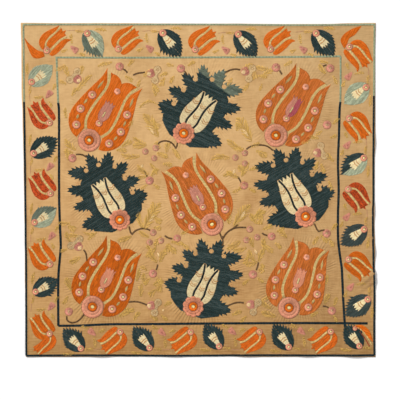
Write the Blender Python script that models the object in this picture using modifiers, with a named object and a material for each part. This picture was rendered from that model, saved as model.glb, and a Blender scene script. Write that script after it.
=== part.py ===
"""Embroidered wrapping cloth, laid out flat.

One nearly square sheet of linen with a narrow turned hem, lying face up on a surface. It is a
single closed solid: a grid whose rim follows the cloth's hand-cut outline, lifted a few
millimetres where the edges ripple. Solidify gives it the cloth's thickness and the hem's. The
middle of the underside is flat, and is what the cloth rests on.

Frame: metres, +Z up, +X to the right and +Y to the top of the cloth seen from above. The origin
is under the middle of the cloth, on the surface that it lies on.
"""

import math

import bmesh
import bpy

MM = 0.001

# Driving dimensions
CLOTH_WIDTH = 1064 * MM
CLOTH_DEPTH = 1002 * MM
CLOTH_THICKNESS = 1.2 * MM
HEM_WIDTH = 7 * MM
HEM_THICKNESS = 2.0 * MM
HEM_STEP = 1.5 * MM

# Grid: fine near the edges, where the cloth ripples, and coarse in the flat middle
RIM_CELL = 15 * MM
RIM_CELLS = 9
MIDDLE_CELL = 36 * MM

# Each edge of the cloth, as cut by hand. Columns: way along the edge from 0 to 1, and how far
# the edge lies inside the cloth's box there, in millimetres. The side edges run from the top
# down, and the top and bottom edges run from left to right.
LEFT_EDGE = ((0.00, 0.0), (0.08, 2.0), (0.20, 2.4), (0.28, 5.4), (0.42, 8.6), (0.56, 10.4),
             (0.66, 12.4), (0.76, 12.2), (0.84, 14.0), (1.00, 15.4))
RIGHT_EDGE = ((0.00, 0.0), (0.10, 1.4), (0.34, 1.0), (0.42, 3.0), (0.60, 3.4), (0.68, 1.8),
              (0.76, 2.6), (0.82, 0.2), (0.90, 1.2), (1.00, 0.6))
TOP_EDGE = ((0.00, 0.0), (0.10, 0.9), (0.30, 1.0), (0.40, 1.9), (0.58, 2.3), (0.74, 3.6),
            (0.86, 3.4), (0.93, 1.2), (1.00, 0.3))
BOTTOM_EDGE = ((0.00, 0.9), (0.12, 0.2), (0.26, 1.2), (0.55, 1.9), (0.70, 0.6), (0.85, 1.3),
               (1.00, 0.0))

# Ripples, where the cloth stands off the surface. Columns: centre x and y, half length and
# half width, turn in degrees of the ripple's length from +X, and height; lengths are in
# millimetres.
RIPPLES = (
    (508, -262, 74, 34, 172, 7.0),
    (520, -188, 60, 30, 10, 3.6),
    (524, -60, 52, 40, 4, 2.4),
    (520, 140, 58, 44, -8, 2.6),
    (470, -486, 96, 44, 96, 4.2),
    (330, -496, 60, 40, 84, 3.2),
    (150, -498, 58, 46, 98, 2.6),
    (-70, -496, 54, 40, 90, 2.2),
    (-290, -496, 62, 44, 80, 3.0),
    (-506, -150, 66, 48, 6, 3.4),
    (-518, 120, 50, 42, -6, 2.2),
    (-500, -470, 70, 52, 40, 3.0),
    (120, 500, 46, 44, 92, 1.8),
    (-300, 500, 44, 42, 88, 1.6),
)

LINEN_COLOUR = (0.62, 0.37, 0.15, 1.0)
LINEN_ROUGHNESS = 0.85


def edge_inset(edge, way):
    """Distance in metres that an edge lies inside the box, eased between the table's rows."""
    for (way_a, inset_a), (way_b, inset_b) in zip(edge, edge[1:]):
        if way <= way_b:
            part = (way - way_a) / (way_b - way_a)
            ease = (1 - math.cos(math.pi * part)) / 2
            return (inset_a + (inset_b - inset_a) * ease) * MM
    return edge[-1][1] * MM


def outline_point(across, down):
    """Place on the cloth, from the shares of its width and depth that lie before the point."""
    left = -CLOTH_WIDTH / 2 + edge_inset(LEFT_EDGE, down)
    right = CLOTH_WIDTH / 2 - edge_inset(RIGHT_EDGE, down)
    top = CLOTH_DEPTH / 2 - edge_inset(TOP_EDGE, across)
    bottom = -CLOTH_DEPTH / 2 + edge_inset(BOTTOM_EDGE, across)
    return left + (right - left) * across, top + (bottom - top) * down


def lift(x, y):
    """Height of the cloth's underside: smooth humps that end, with the flat cloth between."""
    height = 0.0
    for centre_x, centre_y, half_length, half_width, turn, peak in RIPPLES:
        angle = math.radians(turn)
        away_x = x - centre_x * MM
        away_y = y - centre_y * MM
        along = (away_x * math.cos(angle) + away_y * math.sin(angle)) / (half_length * MM)
        aside = (away_y * math.cos(angle) - away_x * math.sin(angle)) / (half_width * MM)
        reach = along * along + aside * aside
        if reach < 1:
            height += peak * MM * (1 - reach) ** 2
    return height


def stations(length):
    """Grid lines from one edge to the other, as shares of the length."""
    rim = [0.0, HEM_WIDTH, HEM_WIDTH + HEM_STEP]
    rim += [RIM_CELL * step for step in range(1, RIM_CELLS + 1)]
    middle = length - 2 * rim[-1]
    cells = round(middle / MIDDLE_CELL)
    inner = [rim[-1] + middle * step / cells for step in range(1, cells)]
    far_rim = [length - distance for distance in reversed(rim)]
    return [distance / length for distance in rim + inner + far_rim]


def linen_material():
    """Undyed honey-tan linen."""
    material = bpy.data.materials.new("linen")
    material.use_nodes = True
    shader = material.node_tree.nodes["Principled BSDF"]
    shader.inputs["Base Color"].default_value = LINEN_COLOUR
    shader.inputs["Roughness"].default_value = LINEN_ROUGHNESS
    shader.inputs["Metallic"].default_value = 0.0
    return material


def cloth_mesh():
    """The cloth's underside as an open grid, and the indices of its hem's vertices."""
    columns = stations(CLOTH_WIDTH)
    rows = stations(CLOTH_DEPTH)
    grid = bmesh.new()
    bmesh.ops.create_grid(grid, x_segments=len(columns) - 1, y_segments=len(rows) - 1, size=0.5)
    grid.verts.index_update()
    hem_vertices = []
    for vertex in grid.verts:
        column = round((vertex.co.x + 0.5) * (len(columns) - 1))
        row = round((0.5 - vertex.co.y) * (len(rows) - 1))
        x, y = outline_point(columns[column], rows[row])
        vertex.co = (x, y, lift(x, y))
        from_edge = min(column, len(columns) - 1 - column, row, len(rows) - 1 - row)
        if from_edge <= 1:
            hem_vertices.append(vertex.index)
    mesh = bpy.data.meshes.new("ground_cloth")
    grid.to_mesh(mesh)
    grid.free()
    return mesh, hem_vertices


def ground_cloth(collection):
    """The linen cloth with its turned hem, one sheet."""
    mesh, hem_vertices = cloth_mesh()
    mesh.materials.append(linen_material())
    cloth = bpy.data.objects.new("ground_cloth", mesh)
    collection.objects.link(cloth)
    hem = cloth.vertex_groups.new(name="hem")
    hem.add(hem_vertices, 1.0, "REPLACE")
    body = cloth.modifiers.new("Cloth thickness", "SOLIDIFY")
    body.thickness = HEM_THICKNESS
    body.offset = 1.0
    body.use_rim = True
    body.vertex_group = hem.name
    body.thickness_vertex_group = CLOTH_THICKNESS / HEM_THICKNESS
    return cloth


def main():
    """Clear the scene and lay the cloth out in its own collection."""
    for scene_object in list(bpy.data.objects):
        bpy.data.objects.remove(scene_object, do_unlink=True)
    collection = bpy.data.collections.new("embroidered_wrapping_cloth")
    bpy.context.scene.collection.children.link(collection)
    ground_cloth(collection)


main()
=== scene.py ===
"""Embroidered wrapping cloth: honey-tan linen with tulips, serrated leaves and sprays in silk.

The linen is one sheet on the folds of its solid. Each motif is sewn on it stitch by stitch: its
outline, in the motif's own frame, is filled with rows of laid silk that follow the cloth.
"""

import math

import bmesh
import bpy
import numpy as np
from mathutils import Matrix, Vector


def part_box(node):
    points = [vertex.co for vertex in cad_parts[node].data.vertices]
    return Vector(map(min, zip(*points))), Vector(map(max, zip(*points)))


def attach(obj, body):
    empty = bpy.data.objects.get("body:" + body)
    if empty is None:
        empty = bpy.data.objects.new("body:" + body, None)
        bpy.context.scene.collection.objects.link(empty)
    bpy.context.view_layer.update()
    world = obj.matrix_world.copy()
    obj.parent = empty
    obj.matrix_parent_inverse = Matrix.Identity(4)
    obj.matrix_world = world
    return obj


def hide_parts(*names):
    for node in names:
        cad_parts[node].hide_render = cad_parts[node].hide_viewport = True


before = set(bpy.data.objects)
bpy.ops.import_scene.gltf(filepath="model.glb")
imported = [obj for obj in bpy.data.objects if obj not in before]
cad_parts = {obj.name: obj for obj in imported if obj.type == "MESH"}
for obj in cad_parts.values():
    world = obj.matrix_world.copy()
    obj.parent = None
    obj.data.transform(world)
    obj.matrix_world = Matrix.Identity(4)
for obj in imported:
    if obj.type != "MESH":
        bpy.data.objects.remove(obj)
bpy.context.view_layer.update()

bl_info = {
    "name": "Embroidered Wrapping Cloth",
    "version": (1, 0, 0),
    "blender": (4, 5, 0),
    "location": "View3D > Sidebar > Wrapping Cloth",
    "description": "Lays out a linen wrapping cloth and sews its silk embroidery",
    "category": "Object",
}

MM = 0.001
NODE = "ground_cloth"
CLOTH_LOW, CLOTH_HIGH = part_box(NODE)
CLOTH_WIDTH = CLOTH_HIGH[0] - CLOTH_LOW[0]
CLOTH_DEPTH = CLOTH_HIGH[1] - CLOTH_LOW[1]
LINEN_THICKNESS = 1.2 * MM
HEM_WIDTH = 7 * MM
HEM_THICKNESS = 2.0 * MM
HEM_STEP = 1.5 * MM

# The photo, in its own 400 by 400 frame: the middle of the cloth, and the size of one pixel
PHOTO_SIZE = 400
PHOTO_MIDDLE = (198.2, 189.9)
PHOTO_PIXEL = 3.0 * MM
LENS = 135
SENSOR = 36

# The stage, whose floor lies just under the cloth
FLOOR_COLOUR = (0.93, 0.93, 0.93)
FLOOR_HALF_SIZE = 14
FLOOR_GAP = 0.2 * MM
WORLD_STRENGTH = 0.40

# Edges and ripples of the cloth, as in its solid. Edge columns: way along the edge, and how far
# it lies inside the box, in millimetres.
LEFT_EDGE = ((0.00, 0.0), (0.08, 2.0), (0.20, 2.4), (0.28, 5.4), (0.42, 8.6), (0.56, 10.4),
             (0.66, 12.4), (0.76, 12.2), (0.84, 14.0), (1.00, 15.4))
RIGHT_EDGE = ((0.00, 0.0), (0.10, 1.4), (0.34, 1.0), (0.42, 3.0), (0.60, 3.4), (0.68, 1.8),
              (0.76, 2.6), (0.82, 0.2), (0.90, 1.2), (1.00, 0.6))
TOP_EDGE = ((0.00, 0.0), (0.10, 0.9), (0.30, 1.0), (0.40, 1.9), (0.58, 2.3), (0.74, 3.6),
            (0.86, 3.4), (0.93, 1.2), (1.00, 0.3))
BOTTOM_EDGE = ((0.00, 0.9), (0.12, 0.2), (0.26, 1.2), (0.55, 1.9), (0.70, 0.6), (0.85, 1.3),
               (1.00, 0.0))

# Columns: centre x and y, half length and half width, turn in degrees, and height, all
# lengths in millimetres
RIPPLES = (
    (508, -262, 74, 34, 172, 7.0),
    (520, -188, 60, 30, 10, 3.6),
    (524, -60, 52, 40, 4, 2.4),
    (520, 140, 58, 44, -8, 2.6),
    (470, -486, 96, 44, 96, 4.2),
    (330, -496, 60, 40, 84, 3.2),
    (150, -498, 58, 46, 98, 2.6),
    (-70, -496, 54, 40, 90, 2.2),
    (-290, -496, 62, 44, 80, 3.0),
    (-506, -150, 66, 48, 6, 3.4),
    (-518, 120, 50, 42, -6, 2.2),
    (-500, -470, 70, 52, 40, 3.0),
    (120, 500, 46, 44, 92, 1.8),
    (-300, 500, 44, 42, 88, 1.6),
)

# Creases of the linen. Columns: start and end in the photo, half width and height in
# millimetres
CREASES = (
    (375, 271, 359, 286, 8, 3.4),
    (375, 280, 361, 290, 6, 2.6),
    (375, 287, 364, 296, 7, 2.4),
    (374, 260, 363, 268, 8, 1.3),
    (371, 300, 373, 320, 7, 1.4),
    (362, 205, 371, 199, 7, 1.4),
    (374, 214, 365, 219, 6, 1.2),
    (363, 243, 374, 238, 7, 1.3),
    (56, 343, 53, 355, 7, 1.0),
    (70, 345, 66, 354, 6, 0.6),
    (125, 345, 127, 355, 7, 0.9),
    (178, 344, 176, 355, 7, 0.8),
    (245, 344, 242, 355, 7, 0.9),
    (313, 344, 316, 355, 7, 0.9),
    (345, 342, 341, 355, 7, 1.0),
    (132, 313, 143, 324, 7, 0.7),
    (259, 292, 266, 281, 7, 0.6),
    (26, 247, 35, 252, 7, 0.8),
    (28, 150, 37, 147, 7, 0.6),
    (110, 24, 110, 64, 5, 0.5),
    (158, 258, 150, 268, 7, 0.5),
    (232, 262, 243, 257, 7, 0.5),
    (327, 252, 338, 250, 7, 0.6),
    (64, 300, 74, 297, 7, 0.5),
)

# Field tulips. Columns: the rosette's place in the photo, turn in degrees, size, depth of the
# dye from 0 to 1, and silks of the petals and of the left and right halves of the small tulip
FIELD_TULIPS = (
    (89.2, 140.3, 60.0, 1.005, 0.42, "orange", "dusky", "dusky"),
    (275.9, 135.5, 58.5, 1.015, 0.44, "faded_orange", "dusky", "magenta"),
    (212.0, 224.4, 118.0, 0.995, 0.48, "faded_orange", "dusky", "dusky"),
    (92.5, 306.9, 63.0, 0.985, 0.84, "orange", "coral", "coral"),
    (289.0, 307.8, 70.8, 0.955, 0.50, "faded_orange", "coral", "coral"),
)

# Field leaves. Columns: the rosette's place, turn, size, turn of the flower inside, and 1 where
# the side with five lobes is on the left or -1 where it is on the right
FIELD_LEAVES = (
    (183.7, 133.4, 59.2, 1.033, 54.5, -1),
    (119.8, 219.9, 114.1, 0.999, 118.8, 1),
    (305.6, 216.6, 112.2, 1.014, 117.5, 1),
    (193.2, 306.6, 68.9, 0.988, 65.0, -1),
)

# Line in the photo over which the first leaf is sewn in slate
PALE_LEAF_LINE = ((198.5, 70.8), (232.9, 98.3))

# Border tulips. Columns: the rosette's place, turn and size, and for a few the silk and the
# number of petals, where these aren't orange and three
BORDER_TULIPS = (
    (46.8, 50.6, 43.6, 1.00),
    (118.3, 49.0, 38.3, 1.00),
    (195.2, 49.7, 38.3, 1.00),
    (270.5, 49.3, 39.0, 0.99),
    (349.3, 46.8, 308.4, 1.00),
    (349.0, 118.3, 306.6, 0.99),
    (348.0, 189.1, 308.0, 0.96, "red"),
    (348.4, 259.4, 318.3, 0.96),
    (49.7, 122.8, 125.0, 0.98, "red"),
    (50.6, 193.5, 125.0, 0.98, "red"),
    (50.0, 264.1, 124.0, 0.98),
    (49.7, 333.8, 124.0, 0.90),
    (49.7, 333.8, 224.0, 0.85, "orange", 2),
    (120.2, 331.9, 220.9, 0.945),
    (190.8, 332.1, 217.7, 0.945),
    (259.6, 331.9, 217.7, 0.925),
    (330.8, 331.6, 218.4, 0.945),
)

# Petals on their own at three corners, in the photo: one side to the tip, then the other side
CORNER_PETALS = (
    (((44.6, 56.4), (39.1, 58.3), (32.8, 57.0), (28.3, 48.0), (24.5, 37.9)),
     ((27.7, 42.3), (32.8, 46.8), (37.9, 50.6), (43.4, 52.0))),
    (((344.4, 48.6), (340.9, 42.1), (341.3, 38.3), (345.4, 33.2), (353.0, 28.7), (361.4, 26.1)),
     ((358.2, 30.6), (354.3, 35.1), (349.2, 38.3), (347.2, 43.4))),
    (((353.0, 326.6), (357.5, 325.2), (363.3, 325.6), (369.6, 331.4), (373.0, 342.0)),
     ((367.6, 336.8), (362.6, 331.0), (357.2, 327.9))),
)

# Band, streak and small flower of the petal at the last corner
CORNER_BAND = ((356.9, 326.9), (362.2, 330.6), (367.2, 336.8), (371.8, 344.8))
CORNER_STREAK = ((359.4, 331.4), (364.4, 337.6), (369.4, 346.4))
CORNER_FLOWER = (354.9, 328.5)
CORNER_FLOWER_RADIUS = 2.2

# Border leaves. Columns: the rosette's place, turn and size, and for those that aren't all navy
# the silks of the halves to the left and to the right of the axis
BORDER_LEAVES = (
    (87.3, 33.5, 306.6, 0.94, "sage", "slate"),
    (162.9, 33.1, 309.8, 1.00),
    (238.3, 34.3, 312.2, 0.97),
    (316.1, 33.4, 311.2, 0.97),
    (365.9, 87.5, 218.6, 0.95, "sage", "sage"),
    (363.7, 158.1, 219.4, 0.94, "sage", "navy"),
    (364.0, 229.3, 217.2, 0.93, "dark_slate", "dark_slate"),
    (367.6, 299.3, 219.3, 0.93, "dark_slate", "dark_slate"),
    (31.8, 82.0, 40.3, 0.93, "sage", "sage"),
    (33.7, 153.4, 35.7, 0.94),
    (34.7, 222.3, 34.2, 0.90, "slate", "sage"),
    (35.6, 291.7, 31.9, 0.86),
    (80.9, 348.4, 135.0, 0.885),
    (149.5, 347.8, 131.0, 0.885),
    (219.1, 346.3, 126.2, 0.89),
    (288.7, 346.9, 127.3, 0.92),
    (359.2, 345.9, 127.4, 0.86),
)

# Border buds. Columns: place, and turn
BORDER_BUDS = (
    (74.2, 49.3, 0), (149.5, 48.5, 0), (225.5, 50.0, 0), (303.0, 49.5, 0),
    (49.0, 94.5, 90), (50.0, 167.0, 90), (51.7, 236.3, 90), (51.3, 306.7, 90),
    (92.1, 332.2, 180), (162.3, 332.5, 180), (232.5, 331.5, 180), (301.5, 331.3, 180),
    (348.7, 76.0, 270), (347.4, 144.8, 270), (346.8, 216.6, 270), (350.6, 286.8, 270),
)

# Stretches of the two lines round the border. Columns: silk, and the stretch's places
OUTER_LINE = (
    ("line_sage", ((23.6, 24.6), (120, 24.7), (200, 24.6), (300, 25.2), (374.2, 24.6))),
    ("line_sage", ((374.2, 24.6), (374.0, 60), (373.7, 96))),
    ("line_navy", ((373.7, 96), (373.2, 150), (373.2, 200), (372.6, 212), (373.2, 260),
                   (374.2, 290), (374.0, 330), (374.2, 355.0))),
    ("line_navy", ((374.2, 355.0), (330, 355.2), (250, 355.0), (180, 355.5), (100, 355.1),
                   (26.6, 355.4))),
    ("line_navy", ((26.6, 355.4), (26.4, 300), (26.2, 260), (25.5, 200), (24.8, 140),
                   (24.2, 102))),
    ("line_sage", ((24.2, 102), (23.9, 60), (23.6, 24.6))),
)
INNER_LINE = (
    ("line_sage", ((55.5, 57.6), (130, 57.8), (220, 57.4), (300, 57.0), (340.4, 56.4))),
    ("line_sage", ((340.4, 56.4), (340.5, 80), (340.2, 102))),
    ("line_navy", ((340.2, 102), (339.3, 112), (338.8, 135), (337.8, 162), (338.5, 190),
                   (337.8, 215), (338.0, 240), (340.4, 260), (341.7, 270), (342.8, 295),
                   (344.2, 318), (344.8, 327))),
    ("line_navy", ((367.5, 323.2), (330, 323.0), (300, 322.9), (250, 323.1), (200, 323.4),
                   (150, 323.9), (110, 324.1), (80, 325.4), (58.5, 325.6))),
    ("line_navy", ((58.5, 325.6), (58.3, 300), (58.6, 275), (60.8, 248), (60.4, 232), (59.3, 200),
                   (59.2, 150), (59.1, 112), (58.3, 103))),
    ("line_sage", ((58.3, 103), (57.6, 85), (56.7, 57.6))),
)
OUTER_LINE_WIDTH = 6.0 * MM
INNER_LINE_WIDTH = 6.8 * MM
SAGE_LINE_SHARE = 0.8

# Small ragged flowers of the sprays. Columns: place in the photo, and radius in pixels. The
# smallest are sewn in the faded pink silk
FADED_ROSETTE_RADIUS = 3.8
SPRAY_ROSETTES = (
    (119.6, 66.6, 4.4), (180.9, 68.6, 4.4), (276.0, 67.6, 4.6), (330.2, 68.4, 4.4),
    (327.0, 125.0, 4.6), (72.4, 158.2, 4.4), (155.9, 147.9, 3.6), (145.4, 151.5, 3.4),
    (154.3, 158.2, 3.2), (149.6, 180.6, 4.4), (244.9, 153.0, 3.4), (235.4, 157.6, 3.4),
    (244.9, 163.4, 3.2), (243.9, 185.2, 4.5), (153.2, 232.6, 3.6), (149.6, 242.4, 3.4),
    (161.0, 240.6, 3.4), (177.2, 238.2, 4.0), (152.9, 273.6, 4.4), (68.8, 311.6, 4.4),
    (249.8, 229.2, 3.6), (257.2, 237.2, 3.4), (246.4, 240.0, 3.4), (271.6, 236.4, 4.2),
    (252.9, 274.4, 4.5), (326.6, 233.4, 4.4), (331.8, 310.8, 4.4),
)

# Half-open buds with a pale heart. Columns: place, the way that the bud faces, and the way from
# it to its two pale scrolls, in degrees
SPRAY_BUDS = (
    (150.6, 73.6, 20, -13), (245.0, 71.6, 25, -19), (317.0, 152.8, 5, 20),
    (150.8, 305.6, 10, -19), (250.4, 304.6, 8, -26), (77.8, 79.6, 135, 137),
    (78.8, 246.8, 135, 128),
)
SCROLL_MIDDLE = (5.8, 5.4)
SCROLL_RADIUS = 3.9
SCROLL_ARC = 155

# Pale long petals. Columns: place, turn, half length and half width in pixels
PALE_PETALS = (
    (151.8, 130.9, 122, 4.8, 1.25), (245.4, 132.6, 124, 5.2, 1.4), (152.2, 217.9, 48, 5.4, 1.3),
    (242.8, 215.0, 58, 5.2, 1.4), (141.9, 166.2, 62, 2.6, 1.0), (233.8, 171.6, 68, 3.2, 1.2),
    (158.4, 254.6, 110, 2.8, 1.0), (256.0, 251.8, 108, 3.0, 1.1), (163.2, 310.0, 20, 1.6, 1.0),
)

# Stems of the sprays: the places along each, in the photo
STEMS = (
    ((123.2, 69.2), (125.4, 70.4), (127.2, 72.8)),
    ((133.4, 75.2), (137.5, 73.4), (145.0, 72.4)),
    ((184.6, 71.2), (185.6, 72.6), (187.0, 75.0)),
    ((224.4, 73.2), (230.0, 70.2), (235.5, 69.2), (240.0, 70.0)),
    ((279.6, 70.6), (280.6, 72.0), (281.8, 74.4)),
    ((322.4, 66.4), (324.0, 65.4), (326.4, 65.0)),
    ((86.6, 157.0), (83.4, 155.0), (79.4, 154.2), (76.0, 154.4)),
    ((177.8, 140.0), (176.2, 148.4), (174.0, 145.0), (170.4, 141.9), (164.8, 140.7),
     (160.0, 142.0), (157.6, 144.2)),
    ((272.9, 150.4), (270.4, 148.2), (266.4, 145.8), (260.6, 144.9), (254.2, 145.3),
     (249.6, 146.8), (246.4, 149.2)),
    ((143.8, 170.4), (145.6, 173.0), (147.0, 176.6)),
    ((237.4, 176.2), (239.4, 179.4), (241.0, 182.4)),
    ((129.0, 226.4), (131.4, 234.6), (135.2, 230.8), (141.9, 228.6), (147.0, 229.0),
     (150.0, 230.4)),
    ((164.8, 235.8), (168.0, 238.0), (172.2, 238.8)),
    ((157.6, 264.6), (157.2, 267.0), (156.2, 269.8)),
    ((83.6, 249.8), (86.0, 253.6), (86.8, 261.0)),
    ((84.4, 313.8), (80.4, 319.0), (75.4, 322.2), (70.4, 322.4), (67.0, 319.8), (66.8, 316.2)),
    ((128.4, 302.0), (136.0, 301.6), (142.0, 303.0), (147.0, 305.2)),
    ((219.6, 232.6), (222.4, 239.0), (226.0, 233.6), (231.9, 229.2), (238.3, 227.5),
     (246.0, 227.6)),
    ((230.6, 230.2), (234.4, 227.6), (237.6, 224.8)),
    ((222.4, 236.0), (222.8, 242.0), (222.4, 246.4)),
    ((262.0, 233.2), (264.6, 234.8), (267.2, 235.6)),
    ((258.4, 262.4), (257.6, 266.0), (256.2, 270.0)),
    ((314.2, 223.6), (317.9, 231.2), (321.0, 230.6), (324.4, 230.0)),
    ((227.4, 305.8), (233.0, 303.6), (238.4, 302.4), (243.6, 302.8)),
    ((322.8, 306.2), (326.0, 306.6), (328.4, 307.6)),
)

# Feathery sprigs. Columns: foot in the photo, turn, length and half width in pixels, and bend
SPRIGS = (
    (68.8, 77, 104, 10, 2.4, 0.2), (66, 84, 160, 7, 2, -0.2), (80.8, 74, 78, 8, 2.2, 0),
    (77, 91, 47, 21, 2.8, 0.1), (72, 96, 60, 9, 2, 0.1), (98, 66.4, 18, 9, 1.8, 0.1),
    (125, 76, 322, 9, 2.2, 0.1), (112, 62, 200, 7, 1.6, 0), (128, 66, 40, 8, 1.8, 0.2),
    (152, 84, 312, 10, 2.2, 0.1), (160, 76, 20, 8, 1.8, 0.1), (140, 80, 250, 7, 1.8, 0),
    (139.4, 107.4, 8, 18, 1.4, 0.5), (158.4, 137, 123, 26, 5, -0.1),
    (146.4, 145.4, 150, 15, 2.8, 0.1), (139.6, 156.2, 174, 18, 2.8, 0.2),
    (166.4, 152.4, 82, 9, 3, 0), (172, 148.4, 305, 13, 2.4, 0.1),
    (148.2, 174.6, 138, 14, 2.4, 0.2), (146.6, 176, 190, 9, 2, 0), (151, 176, 40, 10, 2.4, 0.2),
    (147, 184.8, 214, 7, 1.8, 0), (153.6, 184.4, 320, 7, 1.8, 0), (163, 164, 350, 9, 2.2, 0.1),
    (76, 150, 136, 15, 3, 0.2), (73, 152.6, 170, 9, 2.2, 0), (66.4, 118, 96, 10, 1.8, 0.1),
    (121.6, 146.4, 24, 11, 2.4, 0.1), (116.4, 150.2, 354, 10, 2.4, 0.1),
    (128.6, 128, 60, 8, 1.6, 0.1), (188, 66, 30, 8, 1.8, 0.1), (173.6, 66, 165, 7, 1.8, 0),
    (174, 76, 240, 8, 2, 0), (232, 78, 240, 9, 2, 0.1), (249, 83, 232, 9, 2.2, 0.1),
    (258, 76, 350, 9, 2, 0), (268.4, 69.6, 166, 12, 2.6, 0.1), (284, 66, 30, 9, 2, 0),
    (262, 84, 250, 7, 1.6, 0), (325.4, 74, 122, 11, 2.4, 0.1), (333, 76, 296, 9, 2, 0),
    (328, 62.6, 170, 8, 1.8, 0), (251.6, 141.4, 122, 27, 5, -0.1),
    (241.6, 149.6, 146, 17, 3, 0.1), (229.6, 157.6, 186, 18, 2.8, -0.2),
    (256, 150.8, 330, 12, 3, 0.1), (251, 146.8, 20, 9, 2, 0), (238.6, 177.6, 152, 13, 2.6, 0.1),
    (241.6, 176.6, 62, 15, 2.8, 0.1), (232, 172, 205, 9, 2.2, 0), (239.4, 189.2, 206, 7, 1.8, 0),
    (248.6, 188.6, 334, 8, 1.8, 0), (249, 170, 10, 9, 2, 0.1), (318.6, 138.4, 168, 10, 2, 0),
    (330, 138, 20, 7, 1.8, 0), (318, 161.6, 250, 8, 2, 0), (321, 163.8, 290, 9, 2.2, 0),
    (328.8, 181, 282, 10, 2, 0.1), (333, 124, 40, 8, 1.8, 0.1), (322, 131, 215, 7, 1.8, 0),
    (310, 140, 200, 9, 1.8, 0.1), (144, 229.4, 58, 30, 5.2, 0.1), (142.4, 228, 102, 16, 2.8, 0.2),
    (131.4, 236.4, 196, 14, 2.8, 0.1), (156, 246.6, 226, 14, 3, 0.1),
    (166, 244.6, 318, 13, 3, 0.1), (171, 242, 348, 12, 2.6, 0.1), (156.8, 262.4, 124, 13, 3, 0.1),
    (159.6, 262, 62, 13, 2.8, 0.1), (149, 237, 150, 11, 2.4, 0.1), (182, 243.4, 318, 9, 2, 0),
    (181.6, 234, 30, 8, 2, 0), (80, 236, 172, 11, 2.2, 0.1), (70, 241.6, 112, 10, 2.2, 0.1),
    (67, 249, 200, 7, 2, 0), (80.6, 257, 206, 12, 3, 0.1), (88, 240, 40, 9, 2, 0.1),
    (97, 232.6, 176, 14, 1.4, 0.3), (71.6, 290.4, 112, 13, 3, 0.1), (68, 296, 240, 9, 2.2, 0),
    (141, 296.4, 86, 12, 2.4, 0.1), (146, 285.4, 102, 12, 2.4, 0.1), (137, 281, 80, 12, 2.2, 0),
    (150.4, 316, 330, 8, 2, 0), (164, 306, 30, 8, 2, 0), (161, 315, 320, 8, 2, 0),
    (119, 316.4, 22, 12, 2.6, 0.1), (134, 320.6, 58, 10, 2.4, 0.1), (124, 309, 350, 10, 2.4, 0),
    (149.6, 278.4, 228, 8, 2, 0), (156.4, 278, 312, 7, 2, 0), (147, 270, 150, 7, 1.8, 0),
    (233.8, 226.2, 52, 26, 4.6, 0.1), (250.8, 220.6, 32, 17, 3.2, 0.1),
    (229, 224, 84, 16, 3, 0.2), (240.4, 241.4, 208, 15, 3, 0.1), (246.4, 248, 190, 13, 2.6, 0.1),
    (263, 229.6, 24, 10, 2.2, 0), (254.6, 262, 116, 13, 2.8, 0.1),
    (258.6, 261.6, 66, 13, 2.8, 0.1), (263, 245, 322, 12, 2.8, 0.1), (275, 243, 320, 8, 2, 0),
    (277, 232, 30, 8, 2, 0), (248.8, 279.4, 222, 8, 2, 0), (257.4, 278.4, 328, 7, 2, 0),
    (259, 270, 40, 7, 1.8, 0), (276, 316.4, 162, 15, 3, 0.1), (270.6, 308.4, 144, 12, 2.6, 0.1),
    (232, 315.4, 24, 10, 2.2, 0), (262, 300, 20, 9, 2, 0), (246, 316, 230, 8, 2, 0),
    (318, 236.4, 238, 9, 2.2, 0), (329, 238.4, 296, 9, 2.2, 0), (331.6, 230, 50, 8, 2, 0),
    (324.6, 303.4, 62, 10, 2.4, 0.1), (334, 305.4, 70, 8, 2, 0), (333.4, 315.6, 300, 7, 1.8, 0),
    (318, 312, 210, 8, 2, 0), (326, 284, 80, 9, 1.8, 0),
)

# Shapes of the motifs. Each is in the motif's own frame, in pixels of the photo: the first
# number runs along the motif from its rosette, the second to the left. None ends a smooth run.
TULIP_OUTER = ((-3.5, 12.6), (-2.0, 18.3), (2.8, 24.7), (9.5, 28.8), (16.5, 30.4), (23.0, 30.2),
               (32.5, 28.4), (41.5, 26.2), (50.0, 23.8), (57.5, 21.5), (64.0, 20.2), (71.0, 20.0))
TULIP_BAND = ((8.8, 9.2), (17.2, 13.1), (28.5, 13.7), (41.7, 12.4), (52.8, 11.2), (61.5, 12.6),
              (68.6, 16.0))
TULIP_BAND_WIDTH = 2.6
# How far along the band the outer petals reach
TULIP_PETAL_END = 60
TULIP_TOP = ((69.0, 13.4), (69.3, 7.6), (67.4, 3.0), (64.4, 0.0))
TULIP_ROSETTES = ((40.7, 20.0), (23.0, 23.1), (7.1, 18.8))
# Columns: place of each slim lens between the rosettes, its turn from the axis, half length
TULIP_LENSES = ((53.5, 17.9, -9, 5.4), (32.0, 22.4, -6, 3.3), (14.8, 21.8, 9, 2.8))
LENS_BULGE = 1.05
TULIP_TOP_FLOWER = (56, 0)
TULIP_TOP_FLOWER_RADIUS = 3.4
INNER_TULIP = ((21.7, 0.0), (23.0, 2.8), (27.0, 5.0), (31.0, 5.5), (35.0, 5.1), (39.0, 4.6))
INNER_TULIP_TOP = ((43.4, 5.2), (40.6, 3.4), (44.0, 1.9), (40.8, 0.0))
INNER_TULIP_SLIT = ((26.8, 0.1), (32.4, 0.1))
INNER_TULIP_FOOT = (19.7, 0)
INNER_TULIP_FOOT_RADIUS = 3.5
ROSETTE_RADIUS = 11.3
SMALL_ROSETTE_RADIUS = 4.1

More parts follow.
